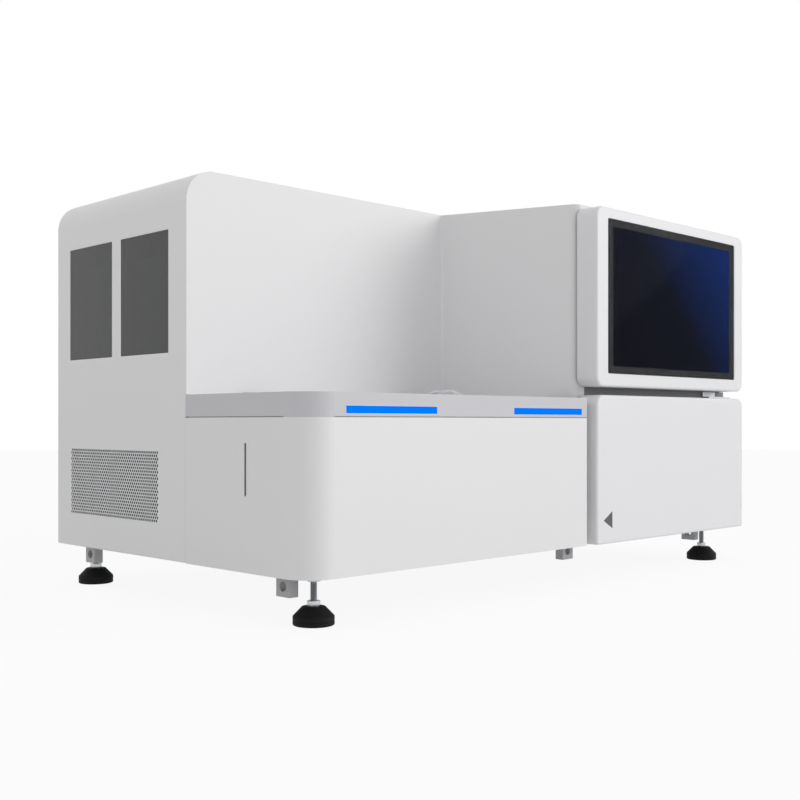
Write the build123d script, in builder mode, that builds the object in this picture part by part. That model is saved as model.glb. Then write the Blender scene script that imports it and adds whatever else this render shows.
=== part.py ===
from build123d import *
import math
import os

os.makedirs("parts", exist_ok=True)

# Overall size of the cabinet. Stations are counted from its left side plane (x),
# its lower front plane (y) and its lower edge (z).
body_width = 1184.0
body_depth = 694.0
body_height = 610.0
door_projection = 8.0
foot_clearance = 70.0

# Sheet and fits
cover_sheet = 2.5
inner_sheet = 2.0
seam = 0.3
pin_clearance = 0.05
slide_clearance = 0.3
edge_bend = 4.0

# Lower cabinet and deck
corner_radius = 50.0
deck_top = 260.0
deck_band = 34.0
deck_plate = 4.0
band_wall = 3.0
band_gap = 1.5
band_lip = 8.0
finger_gap = 17.5
front_wall_y = 287.0
lower_return = 36.0
slot_y = 137.6
slot_low = 110.0
slot_top_margin = 36.5
slot_width = 5.0

# Column with display and reagent door
column_reveal = 6.0
column_front_y = 38.0
column_radius = 24.0
column_wrap = 44.0
column_corner_radius = 20.0
column_return = 20.0
slant_inset = 69.5
inner_bend = 6.0
door_left = 660.0
display_overhang = 1.0
display_top_margin = 8.0
display_depth = 43.0
display_radius = 19.0
display_wall = 3.5
glass_thickness = 1.9
glass_ledge = 5.0
glass_left_margin = 33.5
glass_right_margin = 34.0
glass_bottom_margin = 23.5
glass_top_margin = 19.0
neck_height = 15.0
door_height = 266.0
door_depth = 43.0
door_top_radius = 18.0
door_bottom_radius = 5.0
door_wall = 3.0

# Rear cabinet openings
window_front_margin = 47.5
window_rear_margin = 44.0
window_gap = 28.0
window_low = 326.5
window_top_margin = 89.5
vent_front_margin = 72.5
vent_rear_margin = 43.0
vent_z = (54.0, 175.0)
vent_pitch = 30.0
vent_hole = 23.0
filter_margin = 9.0
filter_thickness = 8.0
top_seam_x = 90.0
rear_inset = 6.0

# Lid, its handle and its hinges
lid_left = 56.0
lid_right_margin = 86.5
lid_front = 4.0
lid_rear_margin = 11.0
lid_gap = 0.6
lid_ledge = 14.0
handle_offset = 21.0
handle_width = 12.0
handle_length = 86.0
handle_rise = 8.7
handle_strap = 4.0
pocket_width = 72.0
pocket_length = 56.0
pocket_depth = 14.0
hinge_inset = 75.0
hinge_width = 60.0
hinge_knuckle_radius = 2.4
hinge_pin_radius = 1.2
hinge_leaf = 1.2

# Status lights in the deck's front
light_left_margin = 72.0
light_right_margin = 17.5
light_length = 185.5
light_height = 11.0
light_drop = 19.0

# Base, feet and lugs
rail_width = 60.0
rail_height = 30.0
rail_wall = 3.0
rail_low = 2.0
rail_inset = 24.0
rear_rail_inset = 94.0
pan_sheet = 3.0
foot_stations = {
    "front_left": (55.0, 50.0),
    "front_right": (body_width - 58.0, 58.0),
    "rear_left": (47.0, body_depth - 50.0),
    "rear_right": (body_width - 54.0, body_depth - 50.0),
}
foot_radius = 30.0
foot_flat_count = 36
foot_wall_height = 13.0
foot_height = 26.5
foot_neck_radius = 16.5
hexagon_flats = 17.5
hexagon_height = 8.0
stud_radius = 5.0
bush_radius = 9.0
bush_drop = 8.0
lug_width = 30.0
lug_thickness = 16.0
lug_drop = 31.0
lug_hole_radius = 7.25
lug_hole_z = -16.0
cross_lug_stations = [
    (24.0, 66.0),
    (body_width - 65.0, 71.0),
    (24.0, body_depth - 86.0),
    (body_width - 40.0, body_depth - 86.0),
]
long_lug_stations = [(door_left - 9.0, 61.0), (door_left - 9.0, body_depth - 83.0)]

# Frame
post_size = 30.0
post_wall = 2.0
post_front_gap = 28.0
post_rear_gap = 29.0
post_front = front_wall_y + post_front_gap
post_rear = body_depth - post_rear_gap
post_stations = [
    (65.0, post_front),
    (65.0, post_rear),
    (door_left - 60.0, post_front),
    (door_left - 60.0, post_rear),
    (body_width - 39.0, post_rear),
    (body_width - 39.0, 75.0),
    (door_left + 20.0, 80.0),
]

# Reagent bay
bay_left_margin = 52.0
bay_right_margin = 74.0
bay_low = 48.0
bay_top_margin = 22.0
bay_wall = 8.0
lift_space = 79.5
sipper_slot_width = 40.0
sipper_slot_y = (150.0, 300.0)
needle_radius = 1.5
needle_pitch = 36.0
needle_count = 4
needle_flat_count = 8

# Stage and optics
plate_left_margin = 34.0
plate_front = 40.0
plate_rear_margin = 54.0
plate_thickness = 24.0
isolator_height = 32.0
leg_width = 40.0
leg_gap = 43.0
rail_shoulder = 30.0
cross_travel = 40.0
stage_rail_width = 20.0
stage_rail_height = 17.0
stage_y = 145.0
bridge_rear = 53.0
bridge_depth = 160.0
tower_rear = 73.0
tower_depth = 40.0
objective_reach = 70.0

# Fan and rear connections
fan_offset = 28.0
fan_z = 400.0
fan_size = 120.0
fan_depth = 38.0
fan_bore = 56.0
fan_hub = 22.0
fan_blades = 7
inlet_inset = 34.0
inlet_z = 62.0
electronics_inset = 174.0
computer_gap = 70.0
port_margin = 4.0
port_width = 74.0
socket_stations = [(14.0, 13.5), (36.0, 13.5), (60.0, 16.0)]

# Places that follow from the sizes above
cabinet = Plane((-body_width / 2, -(body_depth - door_projection) / 2, foot_clearance))
seam_y = front_wall_y + cover_sheet
deck_bottom = deck_top - deck_band
lower_cover_top = deck_bottom - band_gap
lid_seat = deck_top - deck_plate
ledge_low = lid_seat - deck_plate
slot_high = lower_cover_top - slot_top_margin
column_right = body_width - column_reveal
display_left = door_left - display_overhang
display_width = column_right - display_left
deck_right = door_left - finger_gap
display_low = door_height + neck_height
display_high = body_height - display_top_margin
display_height = display_high - display_low
glass_width = display_width - glass_left_margin - glass_right_margin
glass_height = display_height - glass_bottom_margin - glass_top_margin
lid_right = deck_right - lid_right_margin
lid_depth = front_wall_y - lid_rear_margin
hinge_stations = [lid_left + hinge_inset, lid_right - hinge_inset]
handle_x = (lid_left + lid_right) / 2 + handle_offset
light_spans = [
    (light_left_margin, light_left_margin + light_length),
    (deck_right - light_right_margin - light_length, deck_right - light_right_margin),
]
light_high = deck_top - light_drop
light_low = light_high - light_height
first_window = seam_y + window_front_margin
last_window = body_depth - window_rear_margin
window_length = (last_window - first_window - window_gap) / 2
window_spans = [
    (first_window, first_window + window_length),
    (last_window - window_length, last_window),
]
window_high = body_height - window_top_margin
vent_y = (seam_y + vent_front_margin, body_depth - vent_rear_margin)
inner_corner_x = deck_right - slant_inset
column_corner_x = door_left + edge_bend
slope = (column_corner_x - inner_corner_x) / (front_wall_y - column_front_y)
fascia_left = column_corner_x + column_return
fascia_right = body_width - column_wrap
slant_start_x = inner_corner_x - 2 * inner_bend
front_rail_y = column_front_y + cover_sheet + seam
rear_rail_y = body_depth - rear_rail_inset
pan_top = rail_low + rail_height + pan_sheet
rear_panel_y = body_depth - rear_inset
plate_low = pan_top + isolator_height
plate_top = plate_low + plate_thickness
plate_x = (lid_left + plate_left_margin, lid_right)
plate_y = (plate_front, body_depth - plate_rear_margin)
stage_middle = (plate_x[0] + plate_x[1]) / 2
cross_rail_reach = (plate_x[1] - plate_x[0]) / 2 - leg_width - leg_gap
stage_rail_x = (stage_middle - cross_rail_reach + rail_shoulder, stage_middle + cross_rail_reach - rail_shoulder)
leg_y = (plate_y[1] - bridge_rear - bridge_depth, plate_y[1] - bridge_rear)
tower_y = (plate_y[1] - tower_rear - tower_depth, plate_y[1] - tower_rear)
objective_y = tower_y[0] - objective_reach
bay_x = (door_left + bay_left_margin, column_right - bay_right_margin)
bay_z = (bay_low, door_height - bay_top_margin)
bay_middle = (bay_x[0] + bay_x[1]) / 2
electronics_y = body_depth - electronics_inset
bay_back = electronics_y - lift_space
fan_x = bay_middle - fan_offset
inlet_x = bay_x[1] - inlet_inset
computer_x = (bay_x[0] + bay_wall, inlet_x - computer_gap)
port_x = (computer_x[0] + port_margin, computer_x[0] + port_margin + port_width)


def level(z):
    """Horizontal sketch plane at height z, with the cabinet's x and y stations."""
    return cabinet.offset(z)


def side(x):
    """Upright sketch plane across the cabinet at station x: local x is y, local y is z."""
    return Plane(cabinet.origin + Vector(x, 0, 0), x_dir=(0, 1, 0), z_dir=(1, 0, 0))


def front(y):
    """Upright sketch plane at depth y that faces the user: local x is x, local y is z."""
    return Plane(cabinet.origin + Vector(0, y, 0), x_dir=(1, 0, 0), z_dir=(0, -1, 0))


def rectangle_between(x_a, x_b, y_a, y_b, mode=Mode.ADD):
    """Adds the rectangle between two corners to the open sketch."""
    with Locations(((x_a + x_b) / 2, (y_a + y_b) / 2)):
        Rectangle(x_b - x_a, y_b - y_a, mode=mode)


def rounded_between(x_a, x_b, y_a, y_b, radius, mode=Mode.ADD):
    """Adds the round-cornered rectangle between two corners to the open sketch."""
    with Locations(((x_a + x_b) / 2, (y_a + y_b) / 2)):
        RectangleRounded(x_b - x_a, y_b - y_a, radius, mode=mode)


def block(x_a, x_b, y_a, y_b, z_a, z_b, mode=Mode.ADD):
    """Adds the block between two corners to the open part, whose plane is the cabinet's."""
    with Locations((x_a, y_a, z_a)):
        Box(x_b - x_a, y_b - y_a, z_b - z_a, align=(Align.MIN, Align.MIN, Align.MIN), mode=mode)


def slant_x(y, inset):
    """Station of the column's slanted wall at depth y, moved inset into the column."""
    return inner_corner_x + slope * (front_wall_y - y) + inset * math.hypot(1, slope)


def deck_outline(z, inset):
    """Plan of the deck at height z, moved inset inwards, with its large front-left corner."""
    with BuildSketch(level(z)) as outline:
        rectangle_between(inset, deck_right - inset, inset, seam_y - seam - inset)
        for pick, radius in ((0, corner_radius - inset), (-1, max(edge_bend - inset, edge_bend / 4))):
            corner = outline.vertices().group_by(Axis.Y)[0].sort_by(Axis.X)[pick]
            fillet(corner, radius=radius)
    return outline.sketch


# Base rails: two square tubes that carry everything, with the threaded bushes of the feet
# welded into their lower walls.
with BuildPart(cabinet) as base_rails:
    for rail_y in (front_rail_y, rear_rail_y):
        with BuildSketch(side(rail_inset)):
            rectangle_between(rail_y, rail_y + rail_width, rail_low, rail_low + rail_height)
            rectangle_between(
                rail_y + rail_wall,
                rail_y + rail_width - rail_wall,
                rail_low + rail_wall,
                rail_low + rail_height - rail_wall,
                mode=Mode.SUBTRACT,
            )
        extrude(amount=body_width - 2 * rail_inset)
    bush_length = bush_drop + rail_low + rail_wall
    with BuildSketch(level(-bush_drop)):
        with Locations([(x, y) for x, y in foot_stations.values()]):
            RegularPolygon(bush_radius, 6, major_radius=False)
    extrude(amount=bush_length)
    with Locations([(x, y, -bush_drop) for x, y in foot_stations.values()]):
        Cylinder(
            stud_radius + pin_clearance,
            bush_length,
            align=(Align.CENTER, Align.CENTER, Align.MIN),
            mode=Mode.SUBTRACT,
        )
base_rails.part.label = "base_rails"
export_step(base_rails.part, "parts/base_rails.step")

# Floor pan: a plate on the rails, stiffened by three channels welded under it.
with BuildPart(cabinet) as floor_pan:
    with BuildSketch(level(pan_top - pan_sheet)) as pan_plan:
        pan_margin = cover_sheet + seam
        rectangle_between(pan_margin, deck_right - edge_bend, pan_margin, rear_panel_y - 2 * inner_sheet)
        fillet(pan_plan.vertices().sort_by(Axis.Y)[:2].sort_by(Axis.X)[0], radius=corner_radius - pan_margin)
        rectangle_between(
            deck_right / 2, body_width - column_radius, column_front_y + pan_margin, rear_panel_y - 2 * inner_sheet
        )
    extrude(amount=pan_sheet)
    for channel_x in (body_width / 4, body_width / 2, 3 * body_width / 4):
        with BuildSketch(front(front_rail_y + rail_width)):
            rectangle_between(channel_x - rail_height, channel_x + rail_height, rail_low, rail_low + rail_height)
            rectangle_between(
                channel_x - rail_height + rail_wall,
                channel_x + rail_height - rail_wall,
                rail_low + rail_wall,
                rail_low + rail_height,
                mode=Mode.SUBTRACT,
            )
        extrude(amount=-(rear_rail_y - front_rail_y - rail_width))
floor_pan.part.label = "floor_pan"
export_step(floor_pan.part, "parts/floor_pan.step")

# Levelling feet: a moulded base that carries a threaded stud. Its wall and cone have narrow
# flats to grip. The stud turns by its hexagon and runs in the bush of the base rail.
for corner, (foot_x, foot_y) in foot_stations.items():
    foot_origin = cabinet.origin + Vector(foot_x, foot_y, -foot_clearance)
    with BuildPart() as foot_pad:
        with BuildSketch(Plane(foot_origin)):
            RegularPolygon(foot_radius, foot_flat_count)
        extrude(amount=foot_wall_height)
        with BuildSketch(Plane(foot_origin).offset(foot_wall_height)):
            RegularPolygon(foot_radius, foot_flat_count)
        with BuildSketch(Plane(foot_origin).offset(foot_height)):
            RegularPolygon(foot_neck_radius, foot_flat_count)
        loft(ruled=True)
    foot_pad.part.label = f"foot_pad_{corner}"
    export_step(foot_pad.part, f"parts/foot_pad_{corner}.step")

    stud_top = foot_clearance + rail_low + rail_height - edge_bend
    with BuildPart() as foot_stud:
        with BuildSketch(Plane(foot_origin).offset(foot_height)):
            RegularPolygon(hexagon_flats / 2, 6, major_radius=False)
        extrude(amount=hexagon_height)
        with BuildSketch(Plane(foot_origin).offset(foot_height + hexagon_height)):
            Circle(stud_radius)
        extrude(amount=stud_top - foot_height - hexagon_height)
    foot_stud.part.label = f"foot_stud_{corner}"
    export_step(foot_stud.part, f"parts/foot_stud_{corner}.step")

# Lifting lugs: blocks welded under the base rails, each with a hole for a lifting bar. Those
# at the corners are drilled across the cabinet, those at its middle from front to back.
with BuildPart(cabinet) as transport_lugs:
    for lug_x, lug_y in cross_lug_stations:
        with BuildSketch(side(lug_x)):
            rectangle_between(lug_y, lug_y + lug_width, -lug_drop, rail_low)
            with Locations((lug_y + lug_width / 2, lug_hole_z)):
                Circle(lug_hole_radius, mode=Mode.SUBTRACT)
        extrude(amount=lug_thickness)
    for lug_x, lug_y in long_lug_stations:
        with BuildSketch(front(lug_y)):
            rectangle_between(lug_x, lug_x + lug_width, -lug_drop, rail_low)
            with Locations((lug_x + lug_width / 2, lug_hole_z)):
                Circle(lug_hole_radius, mode=Mode.SUBTRACT)
        extrude(amount=-lug_thickness)
transport_lugs.part.label = "transport_lugs"
export_step(transport_lugs.part, "parts/transport_lugs.step")

# Upright posts of square tube, and the three rails across their tops that carry the top
# covers.
post_top = body_height - cover_sheet - post_size
with BuildPart(cabinet) as upright_posts:
    with BuildSketch(level(pan_top)):
        with Locations(post_stations):
            Rectangle(post_size, post_size)
            Rectangle(post_size - 2 * post_wall, post_size - 2 * post_wall, mode=Mode.SUBTRACT)
    extrude(amount=post_top - pan_top)
upright_posts.part.label = "upright_posts"
export_step(upright_posts.part, "parts/upright_posts.step")

with BuildPart(cabinet) as top_rails:
    rail_right = body_width - column_radius
    column_post_x, column_post_y = post_stations[-1]
    rail_rows = [
        (corner_radius, post_stations[1][1]),
        (corner_radius, post_stations[0][1]),
        (column_post_x - post_size / 2, column_post_y),
    ]
    for rail_left, rail_y in rail_rows:
        with BuildSketch(side(rail_left)):
            with Locations((rail_y, post_top + post_size / 2)):
                Rectangle(post_size, post_size)
                Rectangle(post_size - 2 * post_wall, post_size - 2 * post_wall, mode=Mode.SUBTRACT)
        extrude(amount=rail_right - rail_left)
top_rails.part.label = "top_rails"
export_step(top_rails.part, "parts/top_rails.step")

# Lower front cover: one sheet bent round the large front-left corner, with a narrow slot in
# its left side.
with BuildPart() as lower_front_cover:
    with BuildSketch(level(0)):
        with BuildLine():
            FilletPolyline(
                (0, seam_y - seam),
                (0, 0),
                (deck_right, 0),
                (deck_right, lower_return),
                radius=[corner_radius, edge_bend],
            )
            offset(amount=cover_sheet, side=Side.LEFT)
        make_face()
    extrude(amount=lower_cover_top)
    with BuildSketch(side(0)):
        with Locations((slot_y, (slot_low + slot_high) / 2)):
            SlotOverall(slot_high - slot_low, slot_width, rotation=90)
    extrude(amount=cover_sheet, mode=Mode.SUBTRACT)
lower_front_cover.part.label = "lower_front_cover"
export_step(lower_front_cover.part, "parts/lower_front_cover.step")

# Slot insert: a black moulding glued behind the slot, with a groove that continues it.
with BuildPart() as slot_insert:
    with BuildSketch(side(cover_sheet)):
        rectangle_between(
            slot_y - 2 * slot_width, slot_y + 2 * slot_width, slot_low - slot_width, slot_high + slot_width
        )
    extrude(amount=2 * slot_width)
    with BuildSketch(side(cover_sheet)):
        with Locations((slot_y, (slot_low + slot_high) / 2)):
            SlotOverall(slot_high - slot_low, slot_width, rotation=90)
    extrude(amount=1.5 * slot_width, mode=Mode.SUBTRACT)
slot_insert.part.label = "slot_insert"
export_step(slot_insert.part, "parts/slot_insert.step")

# Left rear cover: one sheet that rises from a lip at the bottom and bends over the top with
# a large radius. It has two windows and the air inlet.
with BuildPart() as left_rear_cover:
    with BuildSketch(front(seam_y)):
        with BuildLine():
            FilletPolyline(
                (2 * band_lip, 0),
                (0, 0),
                (0, body_height),
                (top_seam_x, body_height),
                radius=[edge_bend, corner_radius],
            )
            offset(amount=cover_sheet, side=Side.RIGHT)
        make_face()
    extrude(amount=-(body_depth - seam_y))
    with BuildSketch(side(0)):
        for window_start, window_end in window_spans:
            rectangle_between(window_start, window_end, window_low, window_high)
        rectangle_between(*vent_y, *vent_z)
    extrude(amount=cover_sheet, mode=Mode.SUBTRACT)
left_rear_cover.part.label = "left_rear_cover"
export_step(left_rear_cover.part, "parts/left_rear_cover.step")

# Side windows: smoked panes that sit flush in their cut-outs and are glued by a flange
# behind the sheet.
with BuildPart() as side_windows:
    for window_start, window_end in window_spans:
        with BuildSketch(side(seam)):
            rectangle_between(window_start + seam, window_end - seam, window_low + seam, window_high - seam)
        extrude(amount=cover_sheet - seam)
        with BuildSketch(side(cover_sheet)):
            rectangle_between(
                window_start - band_lip, window_end + band_lip, window_low - band_lip, window_high + band_lip
            )
        extrude(amount=inner_sheet)
side_windows.part.label = "side_windows"
export_step(side_windows.part, "parts/side_windows.step")

# Air inlet: a perforated plate flush in the cover, its holes in staggered rows.
with BuildPart() as vent_grille:
    vent_width = vent_y[1] - vent_y[0]
    vent_height = vent_z[1] - vent_z[0]
    row_pitch = vent_pitch * math.sqrt(3) / 2
    column_count = int(vent_width // vent_pitch) - 1
    row_pairs = int(vent_height // (2 * row_pitch))
    vent_centre = ((vent_y[0] + vent_y[1]) / 2, (vent_z[0] + vent_z[1]) / 2)
    with BuildSketch(side(0)):
        rectangle_between(*vent_y, *vent_z)
        for shift in (-1, 1):
            with Locations((vent_centre[0] + shift * vent_pitch / 4, vent_centre[1] + shift * row_pitch / 2)):
                with GridLocations(vent_pitch, 2 * row_pitch, column_count, row_pairs):
                    RegularPolygon(vent_hole / 2, 6, major_radius=False, rotation=30, mode=Mode.SUBTRACT)
    extrude(amount=cover_sheet)
vent_grille.part.label = "vent_grille"
export_step(vent_grille.part, "parts/vent_grille.step")

# Dust filter: a washable mat clipped behind the air inlet.
with BuildPart() as dust_filter:
    with BuildSketch(side(cover_sheet)):
        rectangle_between(
            vent_y[0] + filter_margin,
            vent_y[1] - filter_margin,
            vent_z[0] + filter_margin,
            vent_z[1] - filter_margin,
        )
    extrude(amount=filter_thickness)
dust_filter.part.label = "dust_filter"
export_step(dust_filter.part, "parts/dust_filter.step")

# Tall front panel: a flat sheet whose outline follows the bend of the left rear cover.
with BuildPart() as tall_front_panel:
    with BuildSketch(front(front_wall_y)) as panel_face:
        rectangle_between(0, slant_start_x, deck_top + seam, body_height)
        fillet(panel_face.vertices().group_by(Axis.Y)[-1].sort_by(Axis.X)[0], radius=corner_radius)
    extrude(amount=-cover_sheet)
tall_front_panel.part.label = "tall_front_panel"
export_step(tall_front_panel.part, "parts/tall_front_panel.step")

# Slanted panel: the column's left wall, bent from the inner corner round to its front.
with BuildPart() as slanted_panel:
    with BuildSketch(level(deck_top + seam)):
        with BuildLine():
            FilletPolyline(
                (slant_start_x, front_wall_y),
                (inner_corner_x, front_wall_y),
                (column_corner_x, column_front_y),
                (fascia_left, column_front_y),
                radius=[inner_bend, column_corner_radius],
            )
            offset(amount=cover_sheet, side=Side.LEFT)
        make_face()
    extrude(amount=body_height - deck_top - seam)
slanted_panel.part.label = "slanted_panel"
export_step(slanted_panel.part, "parts/slanted_panel.step")

# Divider wall: closes the column below the deck. It follows the slanted panel to the deck's
# edge and then runs straight back.
divider_x = deck_right + edge_bend
divider_y = front_wall_y - (divider_x - inner_corner_x) / slope
with BuildPart() as divider_wall:
    with BuildSketch(level(0)):
        with BuildLine():
            FilletPolyline(
                (fascia_left, column_front_y),
                (column_corner_x, column_front_y),
                (divider_x, divider_y),
                (divider_x, seam_y),
                radius=[column_corner_radius, edge_bend],
            )
            offset(amount=inner_sheet, side=Side.RIGHT)
        make_face()
    extrude(amount=deck_top - inner_sheet)
    with BuildSketch(level(0)):
        rectangle_between(0, body_width, front_rail_y - seam, body_depth)
    extrude(amount=pan_top, mode=Mode.SUBTRACT)
divider_wall.part.label = "divider_wall"
export_step(divider_wall.part, "parts/divider_wall.step")

# Column fascia: the dark front plate behind the display and the door, with the mouth of the
# reagent bay and the four bosses that carry the display.
display_centre = (display_left + display_width / 2, display_low + display_height / 2)
with BuildPart() as column_fascia:
    with BuildSketch(front(column_front_y)):
        rectangle_between(fascia_left, fascia_right, 0, body_height)
        rectangle_between(*bay_x, *bay_z, mode=Mode.SUBTRACT)
    extrude(amount=-cover_sheet)
    with BuildSketch(front(column_front_y)):
        with Locations(display_centre):
            with GridLocations(display_width / 2, display_height / 2, 2, 2):
                Rectangle(column_corner_radius, column_corner_radius)
    extrude(amount=column_front_y - display_depth + door_projection)
column_fascia.part.label = "column_fascia"
export_step(column_fascia.part, "parts/column_fascia.step")

# Right side cover: a formed shell with the column's rounded front and top edges.
with BuildPart() as right_side_cover:
    with BuildSketch(level(0)):
        rectangle_between(fascia_right, body_width, column_front_y, body_depth)
    extrude(amount=body_height)
    front_edge = right_side_cover.edges().filter_by(Axis.Z).group_by(Axis.X)[-1].sort_by(Axis.Y)[0]
    top_edge = right_side_cover.faces().sort_by(Axis.Z)[-1].edges().filter_by(Axis.Y).sort_by(Axis.X)[-1]
    fillet([front_edge, top_edge], radius=column_radius)
    open_faces = [
        right_side_cover.faces().sort_by(Axis.X)[0],
        right_side_cover.faces().sort_by(Axis.Y)[-1],
        right_side_cover.faces().sort_by(Axis.Z)[0],
    ]
    offset(amount=-cover_sheet, openings=open_faces)
right_side_cover.part.label = "right_side_cover"
export_step(right_side_cover.part, "parts/right_side_cover.step")

# Top covers: a plain sheet over the rear cabinet and one over the column.
with BuildPart() as top_cover:
    with BuildSketch(level(body_height - cover_sheet)):
        rectangle_between(top_seam_x, fascia_right, seam_y, body_depth)
    extrude(amount=cover_sheet)
top_cover.part.label = "top_cover"
export_step(top_cover.part, "parts/top_cover.step")

column_cover_front = column_front_y + cover_sheet
with BuildPart() as column_top_cover:
    with BuildSketch(level(body_height - cover_sheet)) as column_plan:
        with BuildLine():
            Polyline(
                (slant_x(seam_y, cover_sheet), seam_y),
                (slant_x(column_cover_front, cover_sheet), column_cover_front),
                (fascia_right, column_cover_front),
                (fascia_right, seam_y),
                close=True,
            )
        make_face()
        fillet(
            column_plan.vertices().group_by(Axis.Y)[0].sort_by(Axis.X)[0], radius=column_corner_radius - cover_sheet
        )
    extrude(amount=cover_sheet)
column_top_cover.part.label = "column_top_cover"
export_step(column_top_cover.part, "parts/column_top_cover.step")

# Rear panel: flat sheet set in from the covers' rear edges, with the fan's punched rings and
# the cut-outs for the computer's sockets and the power inlet.
port_z = (62.0, 106.0)
inlet_half = 26.0
inlet_height = 58.0
with BuildPart() as rear_panel:
    with BuildSketch(front(rear_panel_y)) as panel_face:
        rectangle_between(
            cover_sheet + seam,
            body_width - cover_sheet - seam,
            cover_sheet + seam,
            body_height - cover_sheet - seam,
        )
        for pick, radius in ((0, corner_radius), (-1, column_radius)):
            corner = panel_face.vertices().group_by(Axis.Y)[-1].sort_by(Axis.X)[pick]
            fillet(corner, radius=radius - cover_sheet - seam)
        fillet(panel_face.vertices().group_by(Axis.Y)[0], radius=edge_bend)
        with Locations((fan_x, fan_z)):
            for ring in range(1, 4):
                ring_radius = fan_bore * ring / 3
                Circle(ring_radius - inner_sheet, mode=Mode.SUBTRACT)
                Circle(ring_radius - fan_bore / 6 - inner_sheet)
        with Locations((fan_x, fan_z)):
            for angle in (45, 135):
                Rectangle(2 * fan_bore, 2 * band_wall, rotation=angle)
        rectangle_between(*port_x, *port_z, mode=Mode.SUBTRACT)
        rectangle_between(
            inlet_x - inlet_half + edge_bend,
            inlet_x + inlet_half - edge_bend,
            inlet_z + edge_bend,
            inlet_z + inlet_height - edge_bend,
            mode=Mode.SUBTRACT,
        )
    extrude(amount=inner_sheet)
rear_panel.part.label = "rear_panel"
export_step(rear_panel.part, "parts/rear_panel.step")

# Deck frame: a grey moulding that caps the lower cabinet. It has a stepped seat for the lid,
# the opening of the flow cell bay, windows for the status lights, and a lip that drops inside
# the lower cover. The shadow gap below it closes round the large corner.
bay_opening = (lid_left + lid_ledge, lid_right - lid_ledge, lid_front + lid_ledge, lid_depth - lid_ledge)
with BuildPart(cabinet) as deck_frame:
    extrude(deck_outline(deck_bottom, 0), amount=deck_band)
    extrude(deck_outline(deck_bottom, band_wall), amount=ledge_low - deck_bottom, mode=Mode.SUBTRACT)
    extrude(deck_outline(deck_bottom - band_lip, band_wall), amount=band_lip + inner_sheet)
    extrude(
        deck_outline(deck_bottom - band_lip, band_wall + inner_sheet),
        amount=band_lip + inner_sheet,
        mode=Mode.SUBTRACT,
    )
    with BuildSketch(level(lower_cover_top)):
        with Locations((corner_radius, corner_radius)):
            Circle(corner_radius)
            Circle(corner_radius - band_wall - seam, mode=Mode.SUBTRACT)
        rectangle_between(0, corner_radius, 0, corner_radius, mode=Mode.INTERSECT)
    extrude(amount=band_gap)
    block(lid_left, lid_right, lid_front, lid_depth, lid_seat, deck_top, mode=Mode.SUBTRACT)
    block(*bay_opening, ledge_low, lid_seat, mode=Mode.SUBTRACT)
    for light_start, light_end in light_spans:
        block(
            light_start - seam,
            light_end + seam,
            0,
            band_wall,
            light_low - seam,
            light_high + seam,
            mode=Mode.SUBTRACT,
        )
deck_frame.part.label = "deck_frame"
export_step(deck_frame.part, "parts/deck_frame.step")

# Status lights: light guides that fill their windows, each with a flange behind the wall.
with BuildPart(cabinet) as status_lights:
    for light_start, light_end in light_spans:
        block(light_start, light_end, 0, band_wall, light_low, light_high)
        block(
            light_start - inner_sheet,
            light_end + inner_sheet,
            band_wall,
            2 * band_wall,
            light_low - inner_sheet,
            light_high + inner_sheet,
        )
status_lights.part.label = "status_lights"
export_step(status_lights.part, "parts/status_lights.step")

# Bay shroud: a folded sheet that lines the front and sides of the flow cell bay.
shroud_low = 150.0
with BuildPart() as bay_shroud:
    shroud_left, shroud_right, shroud_front, shroud_rear = bay_opening
    with BuildSketch(level(shroud_low)):
        with BuildLine():
            FilletPolyline(
                (shroud_left, shroud_rear),
                (shroud_left, shroud_front),
                (shroud_right, shroud_front),
                (shroud_right, shroud_rear),
                radius=edge_bend,
            )
            offset(amount=inner_sheet, side=Side.RIGHT)
        make_face()
    extrude(amount=ledge_low - shroud_low)
bay_shroud.part.label = "bay_shroud"
export_step(bay_shroud.part, "parts/bay_shroud.step")

# Deck lid: a plate that lies flush in the deck frame's seat, with a moulded finger pocket
# under the handle.
handle_start = lid_front + lid_gap
handle_end = handle_start + handle_length
pocket_front = bay_opening[2] + inner_sheet + band_gap
pocket_x = (handle_x - pocket_width / 2, handle_x + pocket_width / 2)
pocket_y = (pocket_front, pocket_front + pocket_length)
with BuildPart(cabinet) as deck_lid:
    block(lid_left + lid_gap, lid_right - lid_gap, lid_front + lid_gap, lid_depth - lid_gap, lid_seat, deck_top)
    with BuildSketch(level(deck_top - pocket_depth - inner_sheet)):
        rounded_between(
            pocket_x[0] - inner_sheet,
            pocket_x[1] + inner_sheet,
            pocket_y[0] - inner_sheet,
            pocket_y[1] + inner_sheet,
            2 * edge_bend + inner_sheet,
        )
    extrude(amount=pocket_depth + inner_sheet - deck_plate)
    with BuildSketch(level(deck_top - pocket_depth)):
        rounded_between(*pocket_x, *pocket_y, 2 * edge_bend)
    extrude(amount=pocket_depth, mode=Mode.SUBTRACT)
deck_lid.part.label = "deck_lid"
export_step(deck_lid.part, "parts/deck_lid.step")

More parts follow.
